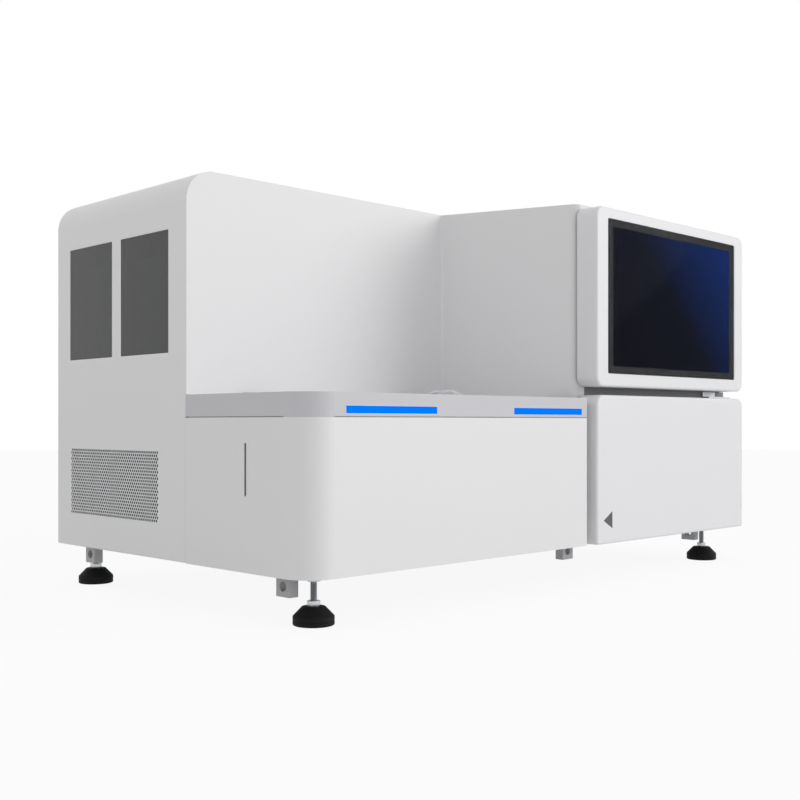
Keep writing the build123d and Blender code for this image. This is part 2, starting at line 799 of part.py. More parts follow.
# Lid handle: a low metal bridge that runs back from the lid's front edge over the pocket.
leg_run = handle_length / 4
foot_run = 2 * handle_strap
with BuildPart() as lid_handle:
    with BuildSketch(side(handle_x - handle_width / 2)):
        with BuildLine():
            Polyline(
                (handle_start, deck_top),
                (handle_start + leg_run, deck_top + handle_rise),
                (handle_end - leg_run, deck_top + handle_rise),
                (handle_end, deck_top),
                (handle_end - foot_run, deck_top),
                (handle_end - leg_run - handle_strap / 2, deck_top + handle_rise - handle_strap),
                (handle_start + leg_run + handle_strap / 2, deck_top + handle_rise - handle_strap),
                (handle_start + foot_run, deck_top),
                close=True,
            )
        make_face()
    extrude(amount=handle_width)
    fillet(lid_handle.edges().filter_by(Axis.X).group_by(Axis.Z)[-1], radius=handle_strap)
lid_handle.part.label = "lid_handle"
export_step(lid_handle.part, "parts/lid_handle.step")

# Lid hinges: two butt hinges along the lid's rear edge. The outer knuckles and the pin belong
# to the leaf on the deck frame, the middle knuckle to the leaf on the lid.
hinge_y = lid_depth + band_gap
hinge_z = deck_top + hinge_knuckle_radius + 0.4
knuckle_length = hinge_width / 3
leaf_reach = 23.0
lid_leaf_end = hinge_y - hinge_knuckle_radius - 2 * seam
deck_leaf_start = hinge_y + hinge_knuckle_radius + seam
with BuildPart(cabinet) as lid_hinge_bases:
    for hinge_x in hinge_stations:
        hinge_start = hinge_x - hinge_width / 2
        block(
            hinge_start,
            hinge_start + hinge_width,
            deck_leaf_start,
            front_wall_y - seam,
            deck_top,
            deck_top + hinge_leaf,
        )
        for knuckle_x in (hinge_start, hinge_start + 2 * knuckle_length):
            with BuildSketch(side(knuckle_x)):
                with Locations((hinge_y, hinge_z)):
                    Circle(hinge_knuckle_radius)
                rectangle_between(hinge_y, deck_leaf_start + seam, deck_top, hinge_z)
            extrude(amount=knuckle_length)
        with BuildSketch(side(hinge_start)):
            with Locations((hinge_y, hinge_z)):
                Circle(hinge_pin_radius)
        extrude(amount=hinge_width)
lid_hinge_bases.part.label = "lid_hinge_bases"
export_step(lid_hinge_bases.part, "parts/lid_hinge_bases.step")

with BuildPart(cabinet) as lid_hinge_leaves:
    for hinge_x in hinge_stations:
        tongue_start = hinge_x - knuckle_length / 2 + seam
        tongue_length = knuckle_length - 2 * seam
        block(
            hinge_x - hinge_width / 2,
            hinge_x + hinge_width / 2,
            lid_leaf_end - leaf_reach,
            lid_leaf_end,
            deck_top,
            deck_top + hinge_leaf,
        )
        with BuildSketch(side(tongue_start)):
            with Locations((hinge_y, hinge_z)):
                Circle(hinge_knuckle_radius)
            rectangle_between(lid_leaf_end, hinge_y, hinge_z - hinge_knuckle_radius, hinge_z)
            rectangle_between(lid_leaf_end - seam, lid_leaf_end + seam, deck_top, hinge_z)
            with Locations((hinge_y, hinge_z)):
                Circle(hinge_pin_radius + pin_clearance, mode=Mode.SUBTRACT)
        extrude(amount=tongue_length)
lid_hinge_leaves.part.label = "lid_hinge_leaves"
export_step(lid_hinge_leaves.part, "parts/lid_hinge_leaves.step")

# Display housing: a moulded shell, open at the back, with a stepped seat for the glass.
display_front = -door_projection
glass_left = display_left + glass_left_margin
glass_low = display_low + glass_bottom_margin
with BuildPart() as display_housing:
    with BuildSketch(front(display_front)):
        rounded_between(display_left, column_right, display_low, display_high, display_radius)
    extrude(amount=-display_depth)
    fillet(display_housing.faces().sort_by(Axis.Y)[0].edges(), radius=edge_bend)
    with BuildSketch(front(display_front + display_wall)):
        rounded_between(
            display_left + display_wall,
            column_right - display_wall,
            display_low + display_wall,
            display_high - display_wall,
            display_radius - display_wall,
        )
    extrude(amount=-display_depth, mode=Mode.SUBTRACT)
    with BuildSketch(front(display_front)):
        rounded_between(glass_left, glass_left + glass_width, glass_low, glass_low + glass_height, edge_bend)
    extrude(amount=-glass_thickness - seam, mode=Mode.SUBTRACT)
    with BuildSketch(front(display_front)):
        rectangle_between(
            glass_left + glass_ledge,
            glass_left + glass_width - glass_ledge,
            glass_low + glass_ledge,
            glass_low + glass_height - glass_ledge,
        )
    extrude(amount=-display_wall, mode=Mode.SUBTRACT)
display_housing.part.label = "display_housing"
export_step(display_housing.part, "parts/display_housing.step")

# Display glass: the black-bordered front glass, bonded in its seat.
with BuildPart() as display_glass:
    with BuildSketch(front(display_front + seam)):
        rounded_between(
            glass_left + seam,
            glass_left + glass_width - seam,
            glass_low + seam,
            glass_low + glass_height - seam,
            edge_bend,
        )
    extrude(amount=-glass_thickness)
display_glass.part.label = "display_glass"
export_step(display_glass.part, "parts/display_glass.step")

# Display panel: the flat screen module behind the glass, with its driver box.
panel_start = display_front + seam + glass_thickness
panel_margin = glass_ledge + 1
panel_thickness = 12.0
with BuildPart(cabinet) as display_panel:
    block(
        glass_left + panel_margin,
        glass_left + glass_width - panel_margin,
        panel_start,
        panel_start + panel_thickness,
        glass_low + panel_margin,
        glass_low + glass_height - panel_margin,
    )
    block(
        display_centre[0] - display_width / 4,
        display_centre[0] + display_width / 4,
        panel_start + panel_thickness,
        panel_start + 2 * panel_thickness,
        display_centre[1] - display_height / 4,
        display_centre[1] + display_height / 4,
    )
display_panel.part.label = "display_panel"
export_step(display_panel.part, "parts/display_panel.step")

# Reagent door: a shell open at the back, with a boss at each end of its right edge for the
# hinge pin.
door_axis_x = column_right - 7
door_axis_y = door_depth - door_projection - 6
door_back = door_depth - door_projection
pin_radius = 4.0
pin_reach = 12.0
boss_height = 20.0
with BuildPart(cabinet) as reagent_door:
    with BuildSketch(front(-door_projection)) as door_face:
        rectangle_between(door_left, column_right, 0, door_height)
        fillet(door_face.vertices().group_by(Axis.Y)[-1], radius=door_top_radius)
        fillet(door_face.vertices().group_by(Axis.Y)[0], radius=door_bottom_radius)
    extrude(amount=-door_depth)
    fillet(reagent_door.faces().sort_by(Axis.Y)[0].edges(), radius=edge_bend)
    with BuildSketch(front(door_wall - door_projection)) as door_hollow:
        rectangle_between(door_left + door_wall, column_right - door_wall, door_wall, door_height - door_wall)
        fillet(door_hollow.vertices().group_by(Axis.Y)[-1], radius=door_top_radius - door_wall)
    extrude(amount=-door_depth, mode=Mode.SUBTRACT)
    for boss_z in (door_wall, door_height - door_wall - boss_height):
        block(
            column_right - door_top_radius,
            column_right - door_wall,
            door_back - door_top_radius,
            door_back,
            boss_z,
            boss_z + boss_height,
        )
    with Locations((door_axis_x, door_axis_y, 0), (door_axis_x, door_axis_y, door_height - pin_reach)):
        Cylinder(
            pin_radius + pin_clearance,
            pin_reach,
            align=(Align.CENTER, Align.CENTER, Align.MIN),
            mode=Mode.SUBTRACT,
        )
reagent_door.part.label = "reagent_door"
export_step(reagent_door.part, "parts/reagent_door.step")

# Door liner: the inner panel, with an insulated plug that stands in the mouth of the bay.
liner_edge = door_wall + 1.0
liner_right = column_right - door_top_radius - seam
plug_margin = 12.0
plug_depth = 10.0
with BuildPart(cabinet) as door_liner:
    block(
        door_left + liner_edge,
        liner_right,
        door_back - 2 * inner_sheet,
        door_back - seam,
        liner_edge,
        door_height - liner_edge,
    )
    with BuildSketch(front(door_back - seam)):
        rounded_between(
            bay_x[0] + plug_margin,
            bay_x[1] - plug_margin,
            bay_z[0] + plug_margin,
            bay_z[1] - plug_margin,
            plug_margin,
        )
    extrude(amount=-plug_depth)
    corner_cut = door_top_radius
    with BuildSketch(front(door_back)):
        for liner_x in (door_left, column_right):
            with Locations((liner_x, door_height)):
                Rectangle(2 * corner_cut, 2 * corner_cut)
    extrude(amount=door_wall * 2, mode=Mode.SUBTRACT)
door_liner.part.label = "door_liner"
export_step(door_liner.part, "parts/door_liner.step")

# Door gasket: a soft frame on the liner that closes against the fascia.
gasket_margin = 12.0
gasket_width = 8.0
with BuildPart() as door_gasket:
    with BuildSketch(front(door_back - seam)):
        rounded_between(
            bay_x[0] - gasket_margin,
            bay_x[1] + gasket_margin,
            bay_z[0] - gasket_margin,
            bay_z[1] + gasket_margin,
            gasket_margin,
        )
        rounded_between(
            bay_x[0] - gasket_margin + gasket_width,
            bay_x[1] + gasket_margin - gasket_width,
            bay_z[0] - gasket_margin + gasket_width,
            bay_z[1] + gasket_margin - gasket_width,
            gasket_margin - gasket_width / 2,
            mode=Mode.SUBTRACT,
        )
    extrude(amount=-(column_front_y - door_back))
door_gasket.part.label = "door_gasket"
export_step(door_gasket.part, "parts/door_gasket.step")

# Door hinge brackets: one above the door on the fascia, one below it on the base rail, each
# with the pin that the door turns on.
bracket_sheet = 3.0
bracket_front = door_axis_y - 2 * pin_radius
bracket_end = body_width - column_reveal
upper_bracket_z = door_height + 1.0
lower_bracket_z = -0.5
with BuildPart(cabinet) as door_hinge_brackets:
    block(
        fascia_right - 2 * rail_inset,
        bracket_end,
        bracket_front,
        column_front_y,
        upper_bracket_z,
        upper_bracket_z + bracket_sheet,
    )
    block(
        fascia_right - 2 * rail_inset,
        fascia_right,
        column_front_y - bracket_sheet,
        column_front_y,
        upper_bracket_z + bracket_sheet,
        display_low - 1,
    )
    block(
        body_width - 2 * rail_inset,
        bracket_end,
        bracket_front,
        front_rail_y + rail_width / 2,
        lower_bracket_z - bracket_sheet,
        lower_bracket_z,
    )
    block(
        body_width - 2 * rail_inset,
        body_width - rail_inset,
        column_front_y + 2 * cover_sheet,
        front_rail_y + rail_width / 2,
        lower_bracket_z,
        rail_low,
    )
    with Locations((door_axis_x, door_axis_y, lower_bracket_z)):
        Cylinder(pin_radius, pin_reach - edge_bend / 2, align=(Align.CENTER, Align.CENTER, Align.MIN))
    with Locations((door_axis_x, door_axis_y, upper_bracket_z)):
        Cylinder(pin_radius, pin_reach - edge_bend / 2, align=(Align.CENTER, Align.CENTER, Align.MAX))
door_hinge_brackets.part.label = "door_hinge_brackets"
export_step(door_hinge_brackets.part, "parts/door_hinge_brackets.step")

# Reagent bay: the cooled liner behind the door. Its floor has guides for two cartridges and
# its ceiling two slots for the sipper's needles.
bay_front = column_front_y + cover_sheet
cartridge_middles = ((bay_x[0] + bay_middle) / 2, (bay_middle + bay_x[1]) / 2)
with BuildPart(cabinet) as reagent_bay:
    block(
        bay_x[0] - bay_wall,
        bay_x[1] + bay_wall,
        bay_front,
        bay_back + bay_wall,
        bay_z[0] - bay_wall,
        bay_z[1] + bay_wall,
    )
    block(*bay_x, bay_front, bay_back, *bay_z, mode=Mode.SUBTRACT)
    for cartridge_x in cartridge_middles:
        block(
            cartridge_x - sipper_slot_width / 2,
            cartridge_x + sipper_slot_width / 2,
            *sipper_slot_y,
            bay_z[1],
            bay_z[1] + bay_wall,
            mode=Mode.SUBTRACT,
        )
    block(
        bay_middle - bay_wall / 2,
        bay_middle + bay_wall / 2,
        bay_front + rail_inset,
        bay_back,
        bay_z[0],
        bay_z[0] + 2 * rail_height,
    )
    for foot_y in (bay_front, bay_back - rail_height):
        block(
            bay_x[0],
            bay_x[1],
            foot_y,
            foot_y + rail_height,
            pan_top,
            bay_z[0] - bay_wall,
        )
reagent_bay.part.label = "reagent_bay"
export_step(reagent_bay.part, "parts/reagent_bay.step")

# Sipper lift: a grooved post behind the bay with the guide rail and the drive motor.
lift_half = 28.0
lift_y = bay_back + bay_wall + 10
lift_top_margin = 55.0
lift_top = body_height - lift_top_margin
lift_rail_depth = 10.0
lift_rail_low = bay_z[1] + 2 * bay_wall
with BuildPart(cabinet) as sipper_lift:
    with BuildSketch(level(pan_top)):
        rectangle_between(bay_middle - lift_half, bay_middle + lift_half, lift_y, lift_y + lift_half)
        for groove_x in (bay_middle - lift_half, bay_middle + lift_half):
            with Locations((groove_x, lift_y + lift_half / 2)):
                Rectangle(lift_half / 2, lift_half / 4, mode=Mode.SUBTRACT)
    extrude(amount=lift_top - pan_top)
    block(
        bay_middle - lift_rail_depth,
        bay_middle + lift_rail_depth,
        lift_y - lift_rail_depth,
        lift_y,
        lift_rail_low,
        lift_top - lift_rail_depth,
    )
    with BuildSketch(level(lift_top)):
        with Locations((bay_middle, lift_y + lift_half / 2)):
            RectangleRounded(1.5 * lift_half, 1.5 * lift_half, edge_bend)
    extrude(amount=1.5 * lift_half)
sipper_lift.part.label = "sipper_lift"
export_step(sipper_lift.part, "parts/sipper_lift.step")

# Sipper head: a carriage on the guide rail, the arm over the bay and, above each slot, a
# manifold with its row of needles.
needle_tip = bay_z[1] + inner_sheet
arm_drop = 125.0
manifold_height = 20.0
arm_thickness = 10.0
arm_low = lift_top - arm_drop
manifold_low = arm_low - manifold_height
sipper_y = (sipper_slot_y[0] + 10, sipper_slot_y[1] - 10)
carriage_front = lift_y - lift_rail_depth - lift_half
with BuildPart(cabinet) as sipper_head:
    block(
        bay_middle - lift_half,
        bay_middle + lift_half,
        carriage_front,
        lift_y - slide_clearance,
        arm_low,
        arm_low + 2 * lift_half,
    )
    block(
        bay_middle - lift_rail_depth - slide_clearance,
        bay_middle + lift_rail_depth + slide_clearance,
        lift_y - lift_rail_depth - slide_clearance,
        lift_y,
        arm_low,
        arm_low + 2 * lift_half,
        mode=Mode.SUBTRACT,
    )
    block(
        bay_middle - lift_half / 2,
        bay_middle + lift_half / 2,
        sipper_y[0],
        carriage_front,
        arm_low,
        arm_low + arm_thickness,
    )
    block(
        cartridge_middles[0] - arm_thickness,
        cartridge_middles[1] + arm_thickness,
        *sipper_y,
        arm_low,
        arm_low + arm_thickness,
    )
    for cartridge_x in cartridge_middles:
        block(
            cartridge_x - arm_thickness,
            cartridge_x + arm_thickness,
            *sipper_y,
            manifold_low,
            arm_low,
        )
        with BuildSketch(level(needle_tip)):
            with Locations((cartridge_x, (sipper_y[0] + sipper_y[1]) / 2)):
                with GridLocations(needle_pitch, needle_pitch, 1, needle_count):
                    RegularPolygon(needle_radius, needle_flat_count)
        extrude(amount=manifold_low - needle_tip)
sipper_head.part.label = "sipper_head"
export_step(sipper_head.part, "parts/sipper_head.step")

# Optics plate: a thick jig plate that carries stage and optics, free of the cabinet on four
# rubber isolators.
isolator_inset = 45.0
isolator_radius = 24.0
plate_centre = ((plate_x[0] + plate_x[1]) / 2, (plate_y[0] + plate_y[1]) / 2)
isolator_grid = (plate_x[1] - plate_x[0] - 2 * isolator_inset, plate_y[1] - plate_y[0] - 2 * isolator_inset)
with BuildPart() as optics_plate:
    with BuildSketch(level(plate_low)):
        rounded_between(*plate_x, *plate_y, 2 * edge_bend)
    extrude(amount=plate_thickness)
optics_plate.part.label = "optics_plate"
export_step(optics_plate.part, "parts/optics_plate.step")

with BuildPart() as isolator_mounts:
    with BuildSketch(level(pan_top)):
        with Locations(plate_centre):
            with GridLocations(*isolator_grid, 2, 2):
                Circle(isolator_radius)
    extrude(amount=isolator_height)
isolator_mounts.part.label = "isolator_mounts"
export_step(isolator_mounts.part, "parts/isolator_mounts.step")

# Stage rails: two guide rails for the long travel, with the magnet track between them.
rail_start = plate_y[0] + rail_inset
rail_end = plate_y[1] - rail_inset
track_half = 30.0
track_height = 10.0
with BuildPart(cabinet) as stage_rails:
    for guide_x in stage_rail_x:
        block(
            guide_x - stage_rail_width / 2,
            guide_x + stage_rail_width / 2,
            rail_start,
            rail_end,
            plate_top,
            plate_top + stage_rail_height,
        )
    block(
        stage_middle - track_half,
        stage_middle + track_half,
        rail_start,
        rail_end,
        plate_top,
        plate_top + track_height,
    )
stage_rails.part.label = "stage_rails"
export_step(stage_rails.part, "parts/stage_rails.step")

# Long-travel carriage: four bearing blocks on the rails, the motor's coil block over the
# magnet track, and the two cross rails on top.
carriage_half = 75.0
bearing_half = 24.0
bearing_length = 50.0
bearing_low = plate_top + 5.0
bearing_top = plate_top + stage_rail_height + 10.0
carriage_plate = 14.0
cross_rail_half = 7.5
cross_rail_height = 12.0
cross_rail_offset = 50.0
cross_rail_y = (stage_y - cross_rail_offset, stage_y + cross_rail_offset)
cross_low = bearing_top + carriage_plate
with BuildPart(cabinet) as y_carriage:
    block(
        stage_middle - cross_rail_reach,
        stage_middle + cross_rail_reach,
        stage_y - carriage_half,
        stage_y + carriage_half,
        bearing_top,
        cross_low,
    )
    for guide_x in stage_rail_x:
        for bearing_y in (stage_y - carriage_half, stage_y + carriage_half - bearing_length):
            block(
                guide_x - bearing_half,
                guide_x + bearing_half,
                bearing_y,
                bearing_y + bearing_length,
                bearing_low,
                bearing_top,
            )
            block(
                guide_x - stage_rail_width / 2 - slide_clearance,
                guide_x + stage_rail_width / 2 + slide_clearance,
                bearing_y,
                bearing_y + bearing_length,
                bearing_low,
                plate_top + stage_rail_height + slide_clearance,
                mode=Mode.SUBTRACT,
            )
    block(
        stage_middle - track_half + edge_bend,
        stage_middle + track_half - edge_bend,
        stage_y - carriage_half + edge_bend,
        stage_y + carriage_half - edge_bend,
        plate_top + track_height + 2.0,
        bearing_top,
    )
    for guide_y in cross_rail_y:
        block(
            stage_middle - cross_rail_reach,
            stage_middle + cross_rail_reach,
            guide_y - cross_rail_half,
            guide_y + cross_rail_half,
            cross_low,
            cross_low + cross_rail_height,
        )
y_carriage.part.label = "y_carriage"
export_step(y_carriage.part, "parts/y_carriage.step")

# Cross-travel carriage: a plate on bearing blocks that straddle the cross rails.
cross_half = cross_rail_reach - cross_travel
cross_bearing_low = cross_low + 3.0
cross_plate_low = cross_low + cross_rail_height + 8.0
cross_plate_top = cross_plate_low + 12.0
with BuildPart(cabinet) as x_carriage:
    block(
        stage_middle - cross_half,
        stage_middle + cross_half,
        stage_y - carriage_half + edge_bend,
        stage_y + carriage_half - edge_bend,
        cross_plate_low,
        cross_plate_top,
    )
    for guide_y in cross_rail_y:
        for bearing_x in (stage_middle - cross_half, stage_middle + cross_half - bearing_length):
            block(
                bearing_x,
                bearing_x + bearing_length,
                guide_y - bearing_half + edge_bend,
                guide_y + bearing_half - edge_bend,
                cross_bearing_low,
                cross_plate_low,
            )
            block(
                bearing_x,
                bearing_x + bearing_length,
                guide_y - cross_rail_half - slide_clearance,
                guide_y + cross_rail_half + slide_clearance,
                cross_bearing_low,
                cross_low + cross_rail_height + slide_clearance,
                mode=Mode.SUBTRACT,
            )
x_carriage.part.label = "x_carriage"
export_step(x_carriage.part, "parts/x_carriage.step")

# Flow cell chucks: two heated blocks side by side, each with a recess for one flow cell.
chuck_half = (45.0, 60.0)
chuck_height = 16.0
chuck_pitch = 106.0
cell_recess = (26.0, 76.0, 1.5)
with BuildPart(cabinet) as flow_cell_chucks:
    with BuildSketch(level(cross_plate_top)):
        with Locations((stage_middle, stage_y)):
            with GridLocations(chuck_pitch, 1, 2, 1):
                Rectangle(2 * chuck_half[0], 2 * chuck_half[1])
    extrude(amount=chuck_height)
    chamfer(flow_cell_chucks.faces().group_by(Axis.Z)[-1].edges(), length=2)
    with BuildSketch(level(cross_plate_top + chuck_height - cell_recess[2])):
        with Locations((stage_middle, stage_y)):
            with GridLocations(chuck_pitch, 1, 2, 1):
                Rectangle(cell_recess[0], cell_recess[1])
    extrude(amount=cell_recess[2], mode=Mode.SUBTRACT)
chuck_top = cross_plate_top + chuck_height
flow_cell_chucks.part.label = "flow_cell_chucks"
export_step(flow_cell_chucks.part, "parts/flow_cell_chucks.step")

# Optics bridge: a portal over the stage with a tower that carries the objective and cameras.
beam_low = 262.0
beam_height = 40.0
tower_half = 55.0
tower_top_margin = 50.0
tower_top = body_height - tower_top_margin
with BuildPart(cabinet) as optics_bridge:
    with BuildSketch(front(leg_y[0])):
        rectangle_between(plate_x[0] + edge_bend, plate_x[1] - edge_bend, plate_top, beam_low)
        rectangle_between(
            plate_x[0] + leg_width,
            plate_x[1] - leg_width,
            plate_top,
            beam_low,
            mode=Mode.SUBTRACT,
        )
    extrude(amount=-(leg_y[1] - leg_y[0]))
    block(
        plate_x[0] + edge_bend,
        plate_x[1] - edge_bend,
        tower_y[0] - rail_inset,
        leg_y[1],
        beam_low,
        beam_low + beam_height,
    )
    block(
        stage_middle - tower_half,
        stage_middle + tower_half,
        *tower_y,
        beam_low + beam_height,
        tower_top,
    )
optics_bridge.part.label = "optics_bridge"
export_step(optics_bridge.part, "parts/optics_bridge.step")

# Objective stage: the focus carriage on the tower's face, its arm, and the objective's
# stepped barrel.
barrel_radius = 22.0
shoulder_radius = 15.0
nose_radius = 8.0
objective_gap = 5.0
objective_tip = chuck_top + objective_gap
arm_gap = 5.0
arm_z = beam_low + beam_height + arm_gap
focus_half = 33.0
focus_gap = 20.0
cube_half = 35.0
cube_top_margin = 70.0
cube_low = body_height - cube_top_margin - 2 * cube_half
with BuildPart(cabinet) as objective_stage:
    block(
        stage_middle - focus_half,
        stage_middle + focus_half,
        tower_y[0] - rail_inset,
        tower_y[0] - slide_clearance,
        arm_z,
        cube_low - focus_gap,
    )
    block(
        stage_middle - focus_half,
        stage_middle + focus_half,
        objective_y - focus_half,
        tower_y[0] - rail_inset,
        arm_z,
        arm_z + focus_half,
    )
    objective_axis = Axis(cabinet.origin + Vector(stage_middle, objective_y, 0), (0, 0, 1))
    with BuildSketch(front(objective_y)):
        with BuildLine():
            Polyline(
                (stage_middle, objective_tip),
                (stage_middle + nose_radius, objective_tip),
                (stage_middle + nose_radius, objective_tip + nose_radius),
                (stage_middle + shoulder_radius, objective_tip + nose_radius),
                (stage_middle + shoulder_radius, objective_tip + barrel_radius),
                (stage_middle + barrel_radius, objective_tip + barrel_radius),
                (stage_middle + barrel_radius, arm_z),
                (stage_middle, arm_z),
                close=True,
            )
        make_face()
    revolve(axis=objective_axis)
objective_stage.part.label = "objective_stage"
export_step(objective_stage.part, "parts/objective_stage.step")

# Imaging head: tube lens, filter cube and the two cameras on the tower, and the laser unit on
# the plate behind the bridge.
head_gap = 10.0
head_low = arm_z + focus_half + head_gap
with BuildPart(cabinet) as imaging_head:
    with Locations((stage_middle, objective_y, head_low)):
        Cylinder(barrel_radius, cube_low - head_low, align=(Align.CENTER, Align.CENTER, Align.MIN))
    block(
        stage_middle - cube_half,
        stage_middle + cube_half,
        objective_y - cube_half,
        tower_y[0],
        cube_low,
        cube_low + 2 * cube_half,
    )
    for camera_x in (stage_middle - 3 * cube_half, stage_middle + cube_half):
        block(
            camera_x,
            camera_x + 2 * cube_half,
            objective_y - cube_half + edge_bend,
            objective_y + cube_half - edge_bend,
            cube_low + edge_bend,
            cube_low + 2 * cube_half - edge_bend,
        )
    block(
        plate_x[0] + isolator_inset,
        plate_x[1] - isolator_inset,
        leg_y[1] + edge_bend,
        plate_y[1] - edge_bend,
        plate_top + 2 * track_height,
        plate_top + 2 * isolator_inset,
    )
imaging_head.part.label = "imaging_head"
export_step(imaging_head.part, "parts/imaging_head.step")

# Service bottles: wash and waste bottles behind the windows, in a tray between the posts.
tray_left = 12.0
tray_x = (tray_left, plate_x[0] - inner_sheet)
tray_drop = 20.5
tray_low = window_low - tray_drop
tray_rim = 20.0
bottle_margin = 12.0
bottle_headroom = 34.5
bottle_height = window_high - tray_low - bottle_headroom
tray_y = (post_stations[0][1] + post_size / 2, post_stations[1][1] - post_size / 2)
bottle_span = (tray_y[1] - tray_y[0]) / 2
with BuildPart(cabinet) as service_bottles:
    block(*tray_x, *tray_y, tray_low, tray_low + tray_rim)
    block(
        tray_x[0] + inner_sheet,
        tray_x[1] - inner_sheet,
        tray_y[0] + inner_sheet,
        tray_y[1] - inner_sheet,
        tray_low + inner_sheet,
        tray_low + tray_rim,
        mode=Mode.SUBTRACT,
    )
    for bottle_y in (tray_y[0], tray_y[0] + bottle_span):
        bottle_middle = ((tray_x[0] + tray_x[1]) / 2, bottle_y + bottle_span / 2)
        with BuildSketch(level(tray_low + inner_sheet)):
            rounded_between(
                tray_x[0] + bottle_margin,
                tray_x[1] - bottle_margin,
                bottle_y + bottle_margin,
                bottle_y + bottle_span - bottle_margin,
                bottle_margin,
            )
        extrude(amount=bottle_height)
        with BuildSketch(level(tray_low + inner_sheet + bottle_height)):
            with Locations(bottle_middle):
                Circle(1.8 * bottle_margin)
        extrude(amount=2 * bottle_margin)
service_bottles.part.label = "service_bottles"
export_step(service_bottles.part, "parts/service_bottles.step")

# Syringe pumps: the pump block with its two glass syringes in front.
pump_width = 65.0
pump_depth = 100.0
pump_offset = 35.0
pump_left = door_left - pump_offset
pump_x = (pump_left, pump_left + pump_width)
pump_y = (rear_rail_y - pump_depth, rear_rail_y)
pump_top = 290.0
syringe_radius = 9.0
with BuildPart(cabinet) as syringe_pumps:
    block(*pump_x, *pump_y, pan_top, pump_top)
    for syringe_x in (pump_x[0] + 2 * syringe_radius, pump_x[1] - 2 * syringe_radius):
        with Locations((syringe_x, pump_y[0] - syringe_radius, pan_top + 2 * rail_height)):
            Cylinder(syringe_radius, pump_top / 2, align=(Align.CENTER, Align.CENTER, Align.MIN))
        block(
            syringe_x - syringe_radius,
            syringe_x + syringe_radius,
            pump_y[0] - 2 * syringe_radius,
            pump_y[0],
            pan_top + 2 * rail_height + pump_top / 2,
            pump_top,
        )
syringe_pumps.part.label = "syringe_pumps"
export_step(syringe_pumps.part, "parts/syringe_pumps.step")

# Control electronics: the computer, whose sockets show through the rear panel, and the power
# supply beside it.
supply_width = 100.0
supply_x = (bay_x[1] + bay_wall - supply_width, bay_x[1] + bay_wall)
computer_top = 230.0
supply_top = 160.0
socket_height = 13.0
socket_depth = 14.0
with BuildPart(cabinet) as control_electronics:
    panel_inner_y = rear_panel_y - inner_sheet
    block(*computer_x, electronics_y, rear_panel_y - 2 * inner_sheet, pan_top, computer_top)
    block(
        port_x[0] + seam,
        port_x[1] - seam,
        rear_panel_y - 2 * inner_sheet,
        rear_panel_y,
        port_z[0] + seam,
        port_z[1] - seam,
    )
    socket_z = (port_z[0] + port_z[1]) / 2
    for socket_station, socket_width in socket_stations:
        block(
            port_x[0] + socket_station - socket_width / 2,
            port_x[0] + socket_station + socket_width / 2,
            rear_panel_y - socket_depth,
            rear_panel_y,
            socket_z - socket_height / 2,
            socket_z + socket_height / 2,
            mode=Mode.SUBTRACT,
        )
    block(*supply_x, electronics_y, rear_panel_y - 4 * band_lip, pan_top, supply_top)
control_electronics.part.label = "control_electronics"
export_step(control_electronics.part, "parts/control_electronics.step")

# Exhaust fan: a square frame behind the rear panel with its motor carrier on three struts.
fan_back = rear_panel_y - inner_sheet
fan_front = fan_back - fan_depth
fan_gap = 4.0
strut_depth = 4.0
with BuildPart() as exhaust_fan:
    with BuildSketch(front(fan_back)):
        with Locations((fan_x, fan_z)):
            RectangleRounded(fan_size, fan_size, 2 * edge_bend)
            Circle(fan_bore, mode=Mode.SUBTRACT)
    extrude(amount=fan_depth)
    with BuildSketch(front(fan_front + strut_depth)):
        with Locations((fan_x, fan_z)):
            Circle(fan_hub)
            with PolarLocations(fan_bore / 2, 3):
                Rectangle(fan_bore + edge_bend, 2 * edge_bend)
    extrude(amount=strut_depth)
exhaust_fan.part.label = "exhaust_fan"
export_step(exhaust_fan.part, "parts/exhaust_fan.step")

# Fan rotor: a hub with pitched blades that turns in the frame.
blade_length = fan_bore - fan_gap - fan_hub + edge_bend
blade_chord = 28.0
blade_thickness = 2.5
blade_pitch = 38.0
rotor_front = fan_front + strut_depth + fan_gap / 2
rotor_depth = fan_depth - strut_depth - fan_gap
rotor_middle = cabinet.origin + Vector(fan_x, rotor_front + rotor_depth / 2, fan_z)
with BuildPart() as fan_rotor:
    with BuildSketch(front(rotor_front)):
        with Locations((fan_x, fan_z)):
            Circle(fan_hub)
    extrude(amount=-rotor_depth)
    for blade in range(fan_blades):
        blade_angle = math.radians(360 * blade / fan_blades)
        outwards = Vector(math.cos(blade_angle), 0, math.sin(blade_angle))
        root = rotor_middle + outwards * (fan_hub - edge_bend)
        with BuildSketch(Plane(root, x_dir=(0, 1, 0), z_dir=outwards)):
            Rectangle(blade_chord, blade_thickness, rotation=blade_pitch)
        extrude(amount=blade_length)
fan_rotor.part.label = "fan_rotor"
export_step(fan_rotor.part, "parts/fan_rotor.step")

